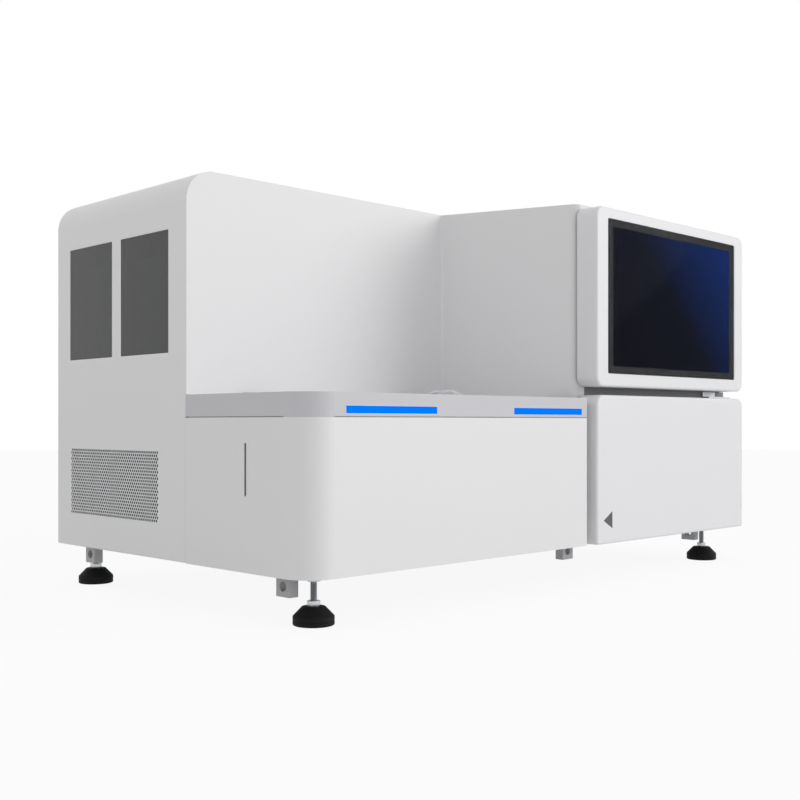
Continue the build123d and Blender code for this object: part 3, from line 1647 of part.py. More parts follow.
# Power inlet: a module in the rear panel with the socket below and the switch's window above.
cavity = (27.0, 19.0, 16.0)
cavity_rise = 8.0
cavity_z = inlet_z + cavity_rise
switch_window = (22.0, 17.0)
switch_rise = 44.0
switch_z = inlet_z + switch_rise
flange_y = rear_panel_y + inner_sheet
prong_length = 12.0
with BuildPart(cabinet) as power_inlet:
    with BuildSketch(front(flange_y)):
        rounded_between(inlet_x - inlet_half, inlet_x + inlet_half, inlet_z, inlet_z + inlet_height, edge_bend)
    extrude(amount=inner_sheet)
    block(
        inlet_x - inlet_half + edge_bend + seam,
        inlet_x + inlet_half - edge_bend - seam,
        rear_panel_y - 3 * band_lip,
        rear_panel_y,
        inlet_z + edge_bend + seam,
        inlet_z + inlet_height - edge_bend - seam,
    )
    block(
        inlet_x - cavity[0] / 2,
        inlet_x + cavity[0] / 2,
        flange_y - cavity[2],
        flange_y,
        cavity_z,
        cavity_z + cavity[1],
        mode=Mode.SUBTRACT,
    )
    block(
        inlet_x - switch_window[0] / 2,
        inlet_x + switch_window[0] / 2,
        flange_y - cavity[2],
        flange_y,
        switch_z - switch_window[1] / 2,
        switch_z + switch_window[1] / 2,
        mode=Mode.SUBTRACT,
    )
    for prong_x in (inlet_x - 7.0, inlet_x, inlet_x + 7.0):
        block(
            prong_x - 1,
            prong_x + 1,
            flange_y - cavity[2],
            flange_y - cavity[2] + prong_length,
            cavity_z + cavity[1] - 8,
            cavity_z + cavity[1] - 4,
        )
power_inlet.part.label = "power_inlet"
export_step(power_inlet.part, "parts/power_inlet.step")

# Power switch: a rocker that tips about a pin across its window. Its upper end stands out.
rocker_width = switch_window[0] - 1.0
rocker_half = switch_window[1] / 2 - 1.5
rocker_front = 5.0
rocker_back = 6.0
rocker_tilt = 12.0
rocker_axis_y = flange_y - 4.0
with BuildPart() as power_switch:
    with BuildSketch(side(inlet_x - rocker_width / 2)):
        with Locations(Location((rocker_axis_y, switch_z), -rocker_tilt)):
            Polygon(
                (-rocker_back, -rocker_half + 2),
                (rocker_front, -rocker_half),
                (rocker_front - 1, 0),
                (rocker_front, rocker_half),
                (-rocker_back, rocker_half - 2),
                align=None,
            )
    extrude(amount=rocker_width)
power_switch.part.label = "power_switch"
export_step(power_switch.part, "parts/power_switch.step")
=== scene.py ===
import math

import bmesh
import bpy
from mathutils import Matrix, Vector


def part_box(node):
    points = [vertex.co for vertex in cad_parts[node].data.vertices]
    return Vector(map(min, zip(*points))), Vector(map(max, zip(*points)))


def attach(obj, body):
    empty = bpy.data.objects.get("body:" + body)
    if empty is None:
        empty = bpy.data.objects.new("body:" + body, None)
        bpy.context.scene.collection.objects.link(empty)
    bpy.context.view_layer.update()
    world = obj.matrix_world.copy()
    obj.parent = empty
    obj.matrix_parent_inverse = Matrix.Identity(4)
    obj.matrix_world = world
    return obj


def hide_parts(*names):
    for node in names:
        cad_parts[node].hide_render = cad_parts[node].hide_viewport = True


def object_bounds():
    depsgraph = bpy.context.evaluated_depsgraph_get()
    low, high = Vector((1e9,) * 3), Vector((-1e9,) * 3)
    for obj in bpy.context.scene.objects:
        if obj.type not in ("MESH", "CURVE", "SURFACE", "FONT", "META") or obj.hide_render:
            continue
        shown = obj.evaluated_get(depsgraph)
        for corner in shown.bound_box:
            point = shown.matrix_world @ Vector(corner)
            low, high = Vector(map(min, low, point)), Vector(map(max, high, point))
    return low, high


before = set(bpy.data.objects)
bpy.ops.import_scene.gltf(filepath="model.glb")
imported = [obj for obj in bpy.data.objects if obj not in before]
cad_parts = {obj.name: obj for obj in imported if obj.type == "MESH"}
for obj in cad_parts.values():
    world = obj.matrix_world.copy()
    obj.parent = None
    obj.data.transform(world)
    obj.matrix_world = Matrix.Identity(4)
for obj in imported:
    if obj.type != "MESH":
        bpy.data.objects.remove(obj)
cad_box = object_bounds()

# Studio. A plain pale floor under a bright even room and one broad soft light, in front and to
# the right, with a weak one overhead. The floor turns white for the camera and keeps a trace
# of shadow.
cabinet_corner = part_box("lower_front_cover")[0]


def at(x, y, z):
    """Point x right of the left side, y behind the lower front, z above its lower edge, in mm."""
    return cabinet_corner + Vector((x, y, z)) / 1000


def add_node(tree, kind, inputs=None, **settings):
    """Adds a node; inputs are values or sockets by name, settings are its properties."""
    made = tree.nodes.new(kind)
    for key, value in settings.items():
        setattr(made, key, value)
    for socket, value in (inputs or {}).items():
        if isinstance(value, bpy.types.NodeSocket):
            tree.links.new(value, made.inputs[socket])
        else:
            made.inputs[socket].default_value = value
    return made


def seen_directly(tree):
    """Mask of the rays that look at the room: camera, mirror and see-through rays."""
    path = add_node(tree, "ShaderNodeLightPath")
    first = add_node(
        tree,
        "ShaderNodeMath",
        {0: path.outputs["Is Camera Ray"], 1: path.outputs["Is Glossy Ray"]},
        operation="MAXIMUM",
    )
    return add_node(
        tree,
        "ShaderNodeMath",
        {0: first.outputs[0], 1: path.outputs["Is Transmission Ray"]},
        operation="MAXIMUM",
    ).outputs[0]


room = bpy.data.worlds.new("room")
bpy.context.scene.world = room
room.use_nodes = True
room_tree = room.node_tree
room_tree.nodes.clear()
room_light = add_node(room_tree, "ShaderNodeBackground", {"Color": (1, 1, 1, 1), "Strength": 0.6})
room_view = add_node(room_tree, "ShaderNodeBackground", {"Color": (1, 1, 1, 1), "Strength": 1.0})
room_mix = add_node(
    room_tree,
    "ShaderNodeMixShader",
    {0: seen_directly(room_tree), 1: room_light.outputs[0], 2: room_view.outputs[0]},
)
add_node(room_tree, "ShaderNodeOutputWorld", {"Surface": room_mix.outputs[0]})

floor_material = bpy.data.materials.new("studio_floor")
floor_material.use_nodes = True
floor_tree = floor_material.node_tree
floor_tree.nodes.clear()
floor_grain = add_node(floor_tree, "ShaderNodeTexNoise", {"Scale": 0.7, "Detail": 2.0})
floor_tone = add_node(
    floor_tree,
    "ShaderNodeMapRange",
    {"Value": floor_grain.outputs["Fac"], "To Min": 0.86, "To Max": 0.9},
)
floor_paint = add_node(floor_tree, "ShaderNodeBsdfDiffuse", {"Color": floor_tone.outputs[0]})
floor_view = add_node(floor_tree, "ShaderNodeEmission", {"Strength": 1.0})
floor_share = add_node(
    floor_tree, "ShaderNodeMath", {0: seen_directly(floor_tree), 1: 0.9}, operation="MULTIPLY"
)
floor_mix = add_node(
    floor_tree,
    "ShaderNodeMixShader",
    {0: floor_share.outputs[0], 1: floor_paint.outputs[0], 2: floor_view.outputs[0]},
)
add_node(floor_tree, "ShaderNodeOutputMaterial", {"Surface": floor_mix.outputs[0]})
floor_reach, floor_drop = 9.0, 0.0002
floor_shape = bmesh.new()
bmesh.ops.create_grid(floor_shape, x_segments=4, y_segments=4, size=floor_reach)
floor_mesh = bpy.data.meshes.new("studio_floor")
floor_shape.to_mesh(floor_mesh)
floor_shape.free()
floor_mesh.materials.append(floor_material)
floor = bpy.data.objects.new("studio_floor", floor_mesh)
bpy.context.scene.collection.objects.link(floor)
floor.location.z = cad_box[0][2] - floor_drop

camera_data = bpy.data.cameras.new("camera")
camera_data.lens = 50
camera_data.sensor_width = 36
camera_data.shift_y = 0.0273
camera = bpy.data.objects.new("camera", camera_data)
bpy.context.scene.collection.objects.link(camera)
camera.location = (-1.5587, -1.5017, 0.288)
camera.rotation_euler = (math.radians(90), 0, math.atan2(0.7114, 0.7028) - math.radians(90))
bpy.context.scene.camera = camera
bpy.context.scene.view_settings.view_transform = "Standard"

for lamp_name, direction, strength, spread in (
    ("front_light", (0.65, -0.66, 0.3), 1.04, 34),
    ("top_light", (-0.2, -0.1, 0.97), 0.12, 60),
):
    lamp_data = bpy.data.lights.new(lamp_name, "SUN")
    lamp_data.energy = strength
    lamp_data.angle = math.radians(spread)
    lamp = bpy.data.objects.new(lamp_name, lamp_data)
    bpy.context.scene.collection.objects.link(lamp)
    lamp.rotation_euler = Vector(direction).to_track_quat("Z", "Y").to_euler()

# Base frame. Welded square tube under the cabinet, the floor pan on it, and the upright posts
# and top rails that carry the covers. Zinc plated steel, with the bushes of the feet below.
surface = bpy.data.node_groups.new("surface_character", "ShaderNodeTree")
for socket, kind, value in (
    ("Colour", "NodeSocketColor", (0.8, 0.8, 0.8, 1)),
    ("Drift", "NodeSocketFloat", 0.03),
    ("Drift Scale", "NodeSocketFloat", 4.0),
    ("Roughness", "NodeSocketFloat", 0.5),
    ("Rub", "NodeSocketFloat", 0.06),
    ("Grain Scale", "NodeSocketFloat", 900.0),
    ("Grain Depth", "NodeSocketFloat", 0.00004),
    ("Stretch", "NodeSocketVector", (1, 1, 1)),
):
    made = surface.interface.new_socket(socket, in_out="INPUT", socket_type=kind)
    made.default_value = value
for socket, kind in (
    ("Colour", "NodeSocketColor"),
    ("Roughness", "NodeSocketFloat"),
    ("Normal", "NodeSocketVector"),
):
    surface.interface.new_socket(socket, in_out="OUTPUT", socket_type=kind)
given = add_node(surface, "NodeGroupInput").outputs
place = add_node(surface, "ShaderNodeTexCoord").outputs["Object"]
drift_noise = add_node(
    surface,
    "ShaderNodeTexNoise",
    {"Vector": place, "Scale": given["Drift Scale"], "Detail": 5.0, "Roughness": 0.6},
)
drift_centred = add_node(
    surface, "ShaderNodeMath", {0: drift_noise.outputs["Fac"], 1: 0.5}, operation="SUBTRACT"
)
drift_factor = add_node(
    surface,
    "ShaderNodeMath",
    {0: drift_centred.outputs[0], 1: given["Drift"], 2: 1.0},
    operation="MULTIPLY_ADD",
)
drifted = add_node(
    surface,
    "ShaderNodeVectorMath",
    {0: given["Colour"], "Scale": drift_factor.outputs[0]},
    operation="SCALE",
)
stretched = add_node(
    surface, "ShaderNodeVectorMath", {0: place, 1: given["Stretch"]}, operation="MULTIPLY"
)
grain_noise = add_node(
    surface,
    "ShaderNodeTexNoise",
    {"Vector": stretched.outputs[0], "Scale": given["Grain Scale"], "Detail": 2.0},
)
rub_centred = add_node(
    surface, "ShaderNodeMath", {0: grain_noise.outputs["Fac"], 1: 0.5}, operation="SUBTRACT"
)
rubbed = add_node(
    surface,
    "ShaderNodeMath",
    {0: rub_centred.outputs[0], 1: given["Rub"], 2: given["Roughness"]},
    operation="MULTIPLY_ADD",
)
relief = add_node(
    surface,
    "ShaderNodeBump",
    {"Strength": 1.0, "Distance": given["Grain Depth"], "Height": grain_noise.outputs["Fac"]},
)
add_node(
    surface,
    "NodeGroupOutput",
    {
        "Colour": drifted.outputs[0],
        "Roughness": rubbed.outputs[0],
        "Normal": relief.outputs["Normal"],
    },
)


def tone(red, green, blue):
    """Linear colour of a swatch read in 0 to 255 steps."""
    return tuple(
        (c / 255 / 12.92) if c < 11 else ((c / 255 + 0.055) / 1.055) ** 2.4
        for c in (red, green, blue)
    ) + (1.0,)


def finish(name, colour, roughness, shader=None, **character):
    """Material with a drifting colour and a slight grain; shader gives values of its own."""
    material = bpy.data.materials.new(name)
    material.use_nodes = True
    tree = material.node_tree
    principled = tree.nodes["Principled BSDF"]
    values = {"Colour": colour, "Roughness": roughness}
    values.update({key.replace("_", " ").title(): value for key, value in character.items()})
    group = add_node(tree, "ShaderNodeGroup", node_tree=surface)
    for socket, value in values.items():
        group.inputs[socket].default_value = value
    tree.links.new(group.outputs["Colour"], principled.inputs["Base Color"])
    tree.links.new(group.outputs["Roughness"], principled.inputs["Roughness"])
    tree.links.new(group.outputs["Normal"], principled.inputs["Normal"])
    for socket, value in (shader or {}).items():
        principled.inputs[socket].default_value = value
    return material


def coat(material, *nodes):
    """Gives CAD nodes their finish."""
    for name in nodes:
        for material_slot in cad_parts[name].material_slots:
            material_slot.material = material


zinc_plate = finish(
    "zinc_plate",
    tone(190, 193, 196),
    0.42,
    {"Metallic": 0.85},
    drift=0.25,
    drift_scale=30.0,
    rub=0.25,
    grain_scale=260.0,
    grain_depth=0.00002,
)
coat(zinc_plate, "base_rails", "floor_pan", "upright_posts", "top_rails")

# Levelling feet. A turned black nylon base with broken edges and a grip groove, and a plated
# stud: hexagon below, rolled thread above, which runs up into the bush of the base frame.
foot_nylon = finish(
    "foot_nylon",
    tone(12, 12, 13),
    0.7,
    {"Specular IOR Level": 0.2},
    drift=0.3,
    drift_scale=60.0,
    grain_scale=1500.0,
    rub=0.2,
)
stud_plate = finish(
    "stud_plate",
    tone(128, 129, 132),
    0.35,
    {"Metallic": 0.9},
    drift=0.3,
    drift_scale=90.0,
    rub=0.3,
)
hexagon_plate = finish(
    "hexagon_plate",
    tone(205, 207, 210),
    0.32,
    {"Metallic": 0.85},
    drift=0.15,
    drift_scale=90.0,
    rub=0.2,
)


def piece(name, shape, material, body, replaced=(), crease=35):
    """Turns a bmesh into a finished piece that rides on a body."""
    bmesh.ops.remove_doubles(shape, verts=shape.verts, dist=1e-6)
    bmesh.ops.recalc_face_normals(shape, faces=shape.faces)
    mesh = bpy.data.meshes.new(name)
    shape.to_mesh(mesh)
    shape.free()
    for face in mesh.polygons:
        face.use_smooth = True
    mesh.set_sharp_from_angle(angle=math.radians(crease))
    mesh.materials.append(material)
    made = bpy.data.objects.new(name, mesh)
    bpy.context.scene.collection.objects.link(made)
    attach(made, body)
    if replaced:
        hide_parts(*replaced)
    return made


def lathe(shape, profile, base, axis, steps):
    """Turns a profile of (radius, height) in mm about an axis that starts at base."""
    turn = Vector(axis).to_track_quat("Z", "Y")
    rings = []
    for radius, height in profile:
        ring = []
        for step in range(steps if radius else 1):
            angle = 2 * math.pi * step / steps
            point = Vector((radius * math.cos(angle), radius * math.sin(angle), height)) / 1000
            ring.append(shape.verts.new(base + turn @ point))
        rings.append(ring)
    for lower, upper in zip(rings, rings[1:]):
        for step in range(steps):
            corners = [
                lower[step % len(lower)],
                lower[(step + 1) % len(lower)],
                upper[(step + 1) % len(upper)],
                upper[step % len(upper)],
            ]
            distinct = [c for n, c in enumerate(corners) if c not in corners[:n]]
            if len(distinct) > 2:
                shape.faces.new(distinct)


def prism(shape, outline, depth, bevel=0.0):
    """Extrudes a flat outline of points along depth, and breaks its edges by bevel in mm."""
    lower = [shape.verts.new(point) for point in outline]
    upper = [shape.verts.new(Vector(point) + Vector(depth)) for point in outline]
    faces = [shape.faces.new(lower), shape.faces.new(upper)]
    for n, corner in enumerate(lower):
        after = (n + 1) % len(lower)
        faces.append(shape.faces.new((corner, lower[after], upper[after], upper[n])))
    if bevel:
        edges = {edge for face in faces for edge in face.edges}
        bmesh.ops.bevel(
            shape, geom=list(edges), offset=bevel / 1000, segments=2, profile=0.5, affect="EDGES"
        )


foot_profile = [
    (0, 0),
    (28.4, 0),
    (29.4, 0.5),
    (30, 1.6),
    (30, 5.6),
    (29.5, 6.0),
    (29.5, 6.8),
    (30, 7.2),
    (30, 12.2),
    (29.4, 13.5),
    (28.6, 14.2),
    (17.8, 25.4),
    (16.9, 26.2),
    (16.0, 26.5),
    (0, 26.5),
]
thread_low, thread_high, thread_pitch, stud_top = 34.5, 72.0, 1.5, 98.0
root_radius, crest_radius = 4.3, 4.95
stud_profile = [(0, thread_low), (root_radius, thread_low)]
for turn_number in range(int((thread_high - thread_low) / thread_pitch)):
    thread_z = thread_low + turn_number * thread_pitch
    stud_profile += [
        (root_radius, thread_z + 0.35),
        (crest_radius, thread_z + 0.75),
        (crest_radius, thread_z + 0.95),
        (root_radius, thread_z + 1.35),
    ]
stud_profile += [
    (crest_radius, thread_high),
    (crest_radius, stud_top - 1),
    (4.0, stud_top),
    (0, stud_top),
]
hexagon_flats, hexagon_foot, hexagon_height = 17.5, 0.0265, 0.008
hexagon_radius = hexagon_flats / math.sqrt(3) / 1000
for corner in ("front_left", "front_right", "rear_left", "rear_right"):
    low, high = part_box(f"foot_pad_{corner}")
    foot_base = Vector(((low.x + high.x) / 2, (low.y + high.y) / 2, low.z))
    pad = bmesh.new()
    lathe(pad, foot_profile, foot_base, (0, 0, 1), 48)
    piece(
        f"foot_base_{corner}",
        pad,
        foot_nylon,
        f"foot_{corner}",
        [f"foot_pad_{corner}"],
        crease=50,
    )
    stud = bmesh.new()
    lathe(stud, stud_profile, foot_base, (0, 0, 1), 20)
    piece(
        f"foot_thread_{corner}",
        stud,
        stud_plate,
        f"foot_{corner}",
        [f"foot_stud_{corner}"],
        crease=80,
    )
    hexagon = bmesh.new()
    outline = [
        foot_base
        + Vector((hexagon_radius * math.cos(a), hexagon_radius * math.sin(a), hexagon_foot))
        for a in (math.radians(60 * n + 30) for n in range(6))
    ]
    prism(hexagon, outline, (0, 0, hexagon_height), bevel=0.7)
    piece(f"foot_hexagon_{corner}", hexagon, hexagon_plate, f"foot_{corner}")

# Lifting lugs. Plain square blocks of painted steel, welded under the base frame, each drilled
# for a lifting bar.
lug_paint = finish(
    "lug_paint", tone(180, 180, 182), 0.45, drift=0.08, drift_scale=60.0, grain_scale=600.0
)
coat(lug_paint, "transport_lugs")

# Sheet metal covers. Steel sheet of 2.5 mm, bent and formed round the large corners, with a
# fine white powder coat. They hang on the frame's posts and rails.
white_coat = finish(
    "white_coat",
    tone(236, 236, 237),
    0.42,
    drift=0.025,
    drift_scale=3.0,
    rub=0.12,
    grain_scale=1100.0,
    grain_depth=0.00003,
)
coat(
    white_coat,
    "lower_front_cover",
    "left_rear_cover",
    "tall_front_panel",
    "slanted_panel",
    "top_cover",
    "column_top_cover",
    "right_side_cover",
    "rear_panel",
)

# Dark inner sheet metal. The column's front plate behind display and door, the wall between
# the deck and the column, and the shroud of the flow cell bay, in a charcoal powder coat. The
# front plate's upper edge is masked white, because it stands in line with the covers.
charcoal, cover_white, white_from = tone(122, 123, 126), tone(236, 236, 237), at(0, 0, 600).z
dark_coat = finish(
    "dark_coat",
    charcoal,
    0.5,
    drift=0.08,
    drift_scale=6.0,
    rub=0.15,
    grain_scale=900.0,
    grain_depth=0.00005,
)
coat(dark_coat, "divider_wall", "bay_shroud")
fascia_coat = dark_coat.copy()
fascia_coat.name = "fascia_coat"
fascia_tree = fascia_coat.node_tree
fascia_place = add_node(fascia_tree, "ShaderNodeTexCoord").outputs["Object"]
fascia_height = add_node(fascia_tree, "ShaderNodeSeparateXYZ", {0: fascia_place}).outputs["Z"]
fascia_top = add_node(
    fascia_tree,
    "ShaderNodeMath",
    {0: fascia_height, 1: white_from},
    operation="GREATER_THAN",
)
fascia_tone = add_node(
    fascia_tree,
    "ShaderNodeMix",
    {"Factor": fascia_top.outputs[0], "A": charcoal, "B": cover_white},
    data_type="RGBA",
)
fascia_group = [node for node in fascia_tree.nodes if node.type == "GROUP"][0]
fascia_tree.links.new(fascia_tone.outputs["Result"], fascia_group.inputs["Colour"])
coat(fascia_coat, "column_fascia")

# Slot insert. Black moulding, glued behind the upright slot in the lower cover's side, which
# closes the slot and makes it look dark.
black_plastic = finish(
    "black_plastic",
    tone(30, 30, 32),
    0.5,
    drift=0.3,
    drift_scale=40.0,
    rub=0.15,
    grain_scale=1400.0,
)
coat(black_plastic, "slot_insert")

# Deck frame. Injection moulded in a fine matt grey; its front and side band wraps round the
# cabinet's large corner and stands a thin shadow gap above the lower cover.
grey_plastic = finish(
    "grey_plastic",
    tone(206, 206, 210),
    0.5,
    drift=0.03,
    drift_scale=8.0,
    rub=0.1,
    grain_scale=1800.0,
    grain_depth=0.00003,
)
coat(grey_plastic, "deck_frame")

# Deck lid. Painted plate in the deck frame's seat, finished like the frame, with its polished
# bridge handle and the stainless butt hinges along its rear edge.
coat(grey_plastic, "deck_lid")
handle_polish = finish(
    "handle_polish",
    tone(222, 222, 224),
    0.22,
    {"Metallic": 1.0},
    drift=0.08,
    drift_scale=80.0,
    rub=0.1,
    grain_scale=300.0,
    grain_depth=0.00001,
    stretch=(8, 0.3, 8),
)
coat(handle_polish, "lid_handle")
hinge_steel = finish(
    "hinge_steel",
    tone(196, 197, 199),
    0.34,
    {"Metallic": 1.0},
    drift=0.15,
    drift_scale=90.0,
    rub=0.25,
    grain_scale=500.0,
    grain_depth=0.00001,
    stretch=(0.2, 4, 4),
)
coat(hinge_steel, "lid_hinge_bases", "lid_hinge_leaves")

# Status lights. Blue light guides flush in the deck's front, lit from behind, each set in a
# thin pale rim.
light_guide = finish(
    "light_guide",
    tone(0, 30, 70),
    0.5,
    {
        "Emission Color": tone(0, 127, 255),
        "Emission Strength": 0.94,
        "Specular IOR Level": 0.0,
    },
    drift=0.1,
    drift_scale=14.0,
    grain_scale=700.0,
)
coat(light_guide, "status_lights")
rim_plastic = finish("rim_plastic", tone(236, 224, 214), 0.45, drift=0.05, drift_scale=20.0)
rim_width, rim_proud, rim_depth = 0.7, 0.25, 0.001
light_low, light_high = 230, 241
rims = bmesh.new()
for light_start, light_end in ((72.0, 257.5), (439.5, 625.0)):
    for low_x, high_x, low_z, high_z in (
        (light_start - rim_width, light_end + rim_width, light_low - rim_width, light_low),
        (light_start - rim_width, light_end + rim_width, light_high, light_high + rim_width),
        (light_start - rim_width, light_start, light_low, light_high),
        (light_end, light_end + rim_width, light_low, light_high),
    ):
        outline = [
            at(low_x, -rim_proud, low_z),
            at(high_x, -rim_proud, low_z),
            at(high_x, -rim_proud, high_z),
            at(low_x, -rim_proud, high_z),
        ]
        prism(rims, outline, (0, rim_depth, 0))
piece("light_rims", rims, rim_plastic, "cabinet")

# Side windows. Smoked acrylic panes, bonded flush in the left rear cover. Behind each sit two
# bent steel hooks and a rubber stop, and behind the rear one a plated level rod.
smoked_pane = bpy.data.materials.new("smoked_pane")
smoked_pane.use_nodes = True
pane_tree = smoked_pane.node_tree
pane_shader = pane_tree.nodes["Principled BSDF"]
pane_place = add_node(pane_tree, "ShaderNodeTexCoord").outputs["Object"]
pane_noise = add_node(
    pane_tree, "ShaderNodeTexNoise", {"Vector": pane_place, "Scale": 9.0, "Detail": 4.0}
)
pane_tint = add_node(
    pane_tree,
    "ShaderNodeMix",
    {"Factor": pane_noise.outputs["Fac"], "A": tone(96, 98, 98), "B": tone(107, 109, 109)},
    data_type="RGBA",
)
pane_haze = add_node(
    pane_tree,
    "ShaderNodeMapRange",
    {"Value": pane_noise.outputs["Fac"], "To Min": 0.06, "To Max": 0.12},
)
pane_tree.links.new(pane_tint.outputs["Result"], pane_shader.inputs["Base Color"])
pane_tree.links.new(pane_haze.outputs[0], pane_shader.inputs["Roughness"])
pane_shader.inputs["Transmission Weight"].default_value = 0.92
pane_shader.inputs["IOR"].default_value = 1.49
coat(smoked_pane, "side_windows")

pane_back, catch_foot, catch_top, catch_width, stop_height = 5.0, 500, 514, 2.2, 508
window_catches = bmesh.new()
window_stops = bmesh.new()
for window_start, window_end in ((337.0, 479.5), (507.5, 650.0)):
    middle = (window_start + window_end) / 2
    for stroke_y, stroke_run in ((middle - 4, 5.0), (middle + 5, -4.0)):
        outline = [
            at(pane_back, stroke_y, catch_top),
            at(pane_back, stroke_y + catch_width, catch_top),
            at(pane_back, stroke_y + catch_width - stroke_run, catch_foot),
            at(pane_back, stroke_y - stroke_run, catch_foot),
        ]
        prism(window_catches, outline, (0.002, 0, 0), bevel=0.4)
    lathe(
        window_stops,
        [(0, 0), (3.6, 0), (4, 0.4), (4, 2.6), (3.6, 3), (0, 3)],
        at(pane_back, middle - 12, stop_height),
        (1, 0, 0),
        20,
    )
piece("window_catches", window_catches, hinge_steel, "cabinet")
piece("window_stops", window_stops, black_plastic, "cabinet")
rod_y, rod_foot, rod_radius, rod_length = 564, 328, 1.6, 148
level_rod = bmesh.new()
lathe(
    level_rod,
    [
        (0, 0),
        (rod_radius, 0),
        (rod_radius, rod_length - 1),
        (rod_radius / 2, rod_length),
        (0, rod_length),
    ],
    at(pane_back + 4, rod_y, rod_foot),
    (0, 0, 1),
    12,
)
piece("level_rod", level_rod, handle_polish, "cabinet")

# Air inlet. Perforated steel sheet, flush in the cover and painted with it. Its round holes
# stand in staggered rows, punched cell by cell by a tree of geometry nodes, in a plain margin.
hole_pitch, row_pitch, hole_radius, plate_thickness = 6.2, 5.19, 2.35, 0.7
hole_columns, hole_row_pairs, hole_corners = 45, 11, 12
weld = 0.00002


def node_tree(name, sockets):
    """Tree of geometry nodes with named inputs; returns it with its input node's outputs."""
    tree = bpy.data.node_groups.new(name, "GeometryNodeTree")
    tree.interface.new_socket("Geometry", in_out="INPUT", socket_type="NodeSocketGeometry")
    for socket, kind in sockets:
        tree.interface.new_socket(socket, in_out="INPUT", socket_type="NodeSocket" + kind)
    tree.interface.new_socket("Geometry", in_out="OUTPUT", socket_type="NodeSocketGeometry")
    return tree, add_node(tree, "NodeGroupInput").outputs


def product(tree, first, second):
    """Socket with the product of two sockets or numbers."""
    return add_node(tree, "ShaderNodeMath", {0: first, 1: second}, operation="MULTIPLY").outputs[0]


def grid_points(tree, width, height, across, up):
    """Socket with a flat grid of points."""
    sizes = {"Size X": width, "Size Y": height, "Vertices X": across, "Vertices Y": up}
    return add_node(tree, "GeometryNodeMeshGrid", sizes).outputs["Mesh"]


def set_on(tree, points, given, welded=False):
    """Sets the item on the points, makes it real, welds it if wanted, and paints it."""
    item = add_node(tree, "GeometryNodeObjectInfo", {"Object": given["Item"]})
    placed = {"Points": points, "Instance": item.outputs["Geometry"]}
    items = add_node(tree, "GeometryNodeInstanceOnPoints", placed).outputs[0]
    real = add_node(tree, "GeometryNodeRealizeInstances", {"Geometry": items}).outputs[0]
    if welded:
        close = {"Geometry": real, "Distance": weld}
        real = add_node(tree, "GeometryNodeMergeByDistance", close).outputs[0]
    paint = {"Geometry": real, "Material": given["Material"]}
    painted = add_node(tree, "GeometryNodeSetMaterial", paint).outputs[0]
    add_node(tree, "NodeGroupOutput", {"Geometry": painted})


def grow(tree, item_shape, values):
    """Repeats a shape by a tree of geometry nodes and returns the result as one bmesh."""
    item_mesh = bpy.data.meshes.new(tree.name + "_item")
    item_shape.to_mesh(item_mesh)
    item_shape.free()
    item = bpy.data.objects.new(tree.name + "_item", item_mesh)
    carrier = bpy.data.objects.new(tree.name, bpy.data.meshes.new(tree.name))
    for helper in (item, carrier):
        bpy.context.scene.collection.objects.link(helper)
    modifier = carrier.modifiers.new(tree.name, "NODES")
    modifier.node_group = tree
    values = dict(values, Item=item)
    for socket in tree.interface.items_tree:
        if socket.item_type == "SOCKET" and socket.in_out == "INPUT" and socket.name in values:
            modifier[socket.identifier] = values[socket.name]
    carrier.update_tag()
    evaluated = carrier.evaluated_get(bpy.context.evaluated_depsgraph_get())
    mesh = bpy.data.meshes.new_from_object(evaluated)
    carrier.modifiers.remove(modifier)
    for helper in (item, carrier):
        bpy.data.objects.remove(helper)
    grown = bmesh.new()
    grown.from_mesh(mesh)
    return grown


cell = bmesh.new()
half_cell, half_row = hole_pitch / 2000, row_pitch / 2000
cell_holes = []
for cell_z in (0.0, -plate_thickness / 1000):
    hole = []
    for n in range(hole_corners):
        angle = math.radians(360 / hole_corners * n)
        radius = hole_radius / 1000
        hole.append(cell.verts.new((radius * math.sin(angle), radius * math.cos(angle), cell_z)))
    edge = [
        cell.verts.new((x, y, cell_z))
        for x, y in (
            (0, half_row),
            (half_cell, half_row),
            (half_cell, -half_row),
            (0, -half_row),
            (-half_cell, -half_row),
            (-half_cell, half_row),
        )
    ]
    cell.faces.new(edge[0:4] + hole[6::-1])
    cell.faces.new(edge[3:6] + [edge[0], hole[0]] + hole[11:5:-1])
    cell_holes.append(hole)
front_hole, back_hole = cell_holes
for n in range(hole_corners):
    after = (n + 1) % hole_corners
    cell.faces.new((front_hole[n], front_hole[after], back_hole[after], back_hole[n]))

perforation, sheet_in = node_tree(
    "perforated_sheet",
    (
        ("Item", "Object"),
        ("Columns", "Int"),
        ("Row Pairs", "Int"),
        ("Hole Pitch", "Float"),
        ("Row Pitch", "Float"),
        ("Material", "Material"),
    ),
)
gaps_across, gaps_up = (
    add_node(perforation, "ShaderNodeMath", {0: count, 1: 1.0}, operation="SUBTRACT").outputs[0]
    for count in (sheet_in["Columns"], sheet_in["Row Pairs"])
)
sheet_rows = add_node(perforation, "GeometryNodeJoinGeometry")
for side in (-1, 1):
    rows = grid_points(
        perforation,
        product(perforation, gaps_across, sheet_in["Hole Pitch"]),
        product(perforation, product(perforation, gaps_up, 2.0), sheet_in["Row Pitch"]),
        sheet_in["Columns"],
        sheet_in["Row Pairs"],
    )
    shift = add_node(
        perforation,
        "ShaderNodeCombineXYZ",
        {
            "X": product(perforation, sheet_in["Hole Pitch"], side * 0.25),
            "Y": product(perforation, sheet_in["Row Pitch"], side * 0.5),
        },
    )
    moved = add_node(
        perforation,
        "GeometryNodeTransform",
        {"Geometry": rows, "Translation": shift.outputs[0]},
    )
    perforation.links.new(moved.outputs[0], sheet_rows.inputs[0])
set_on(perforation, sheet_rows.outputs[0], sheet_in, welded=True)
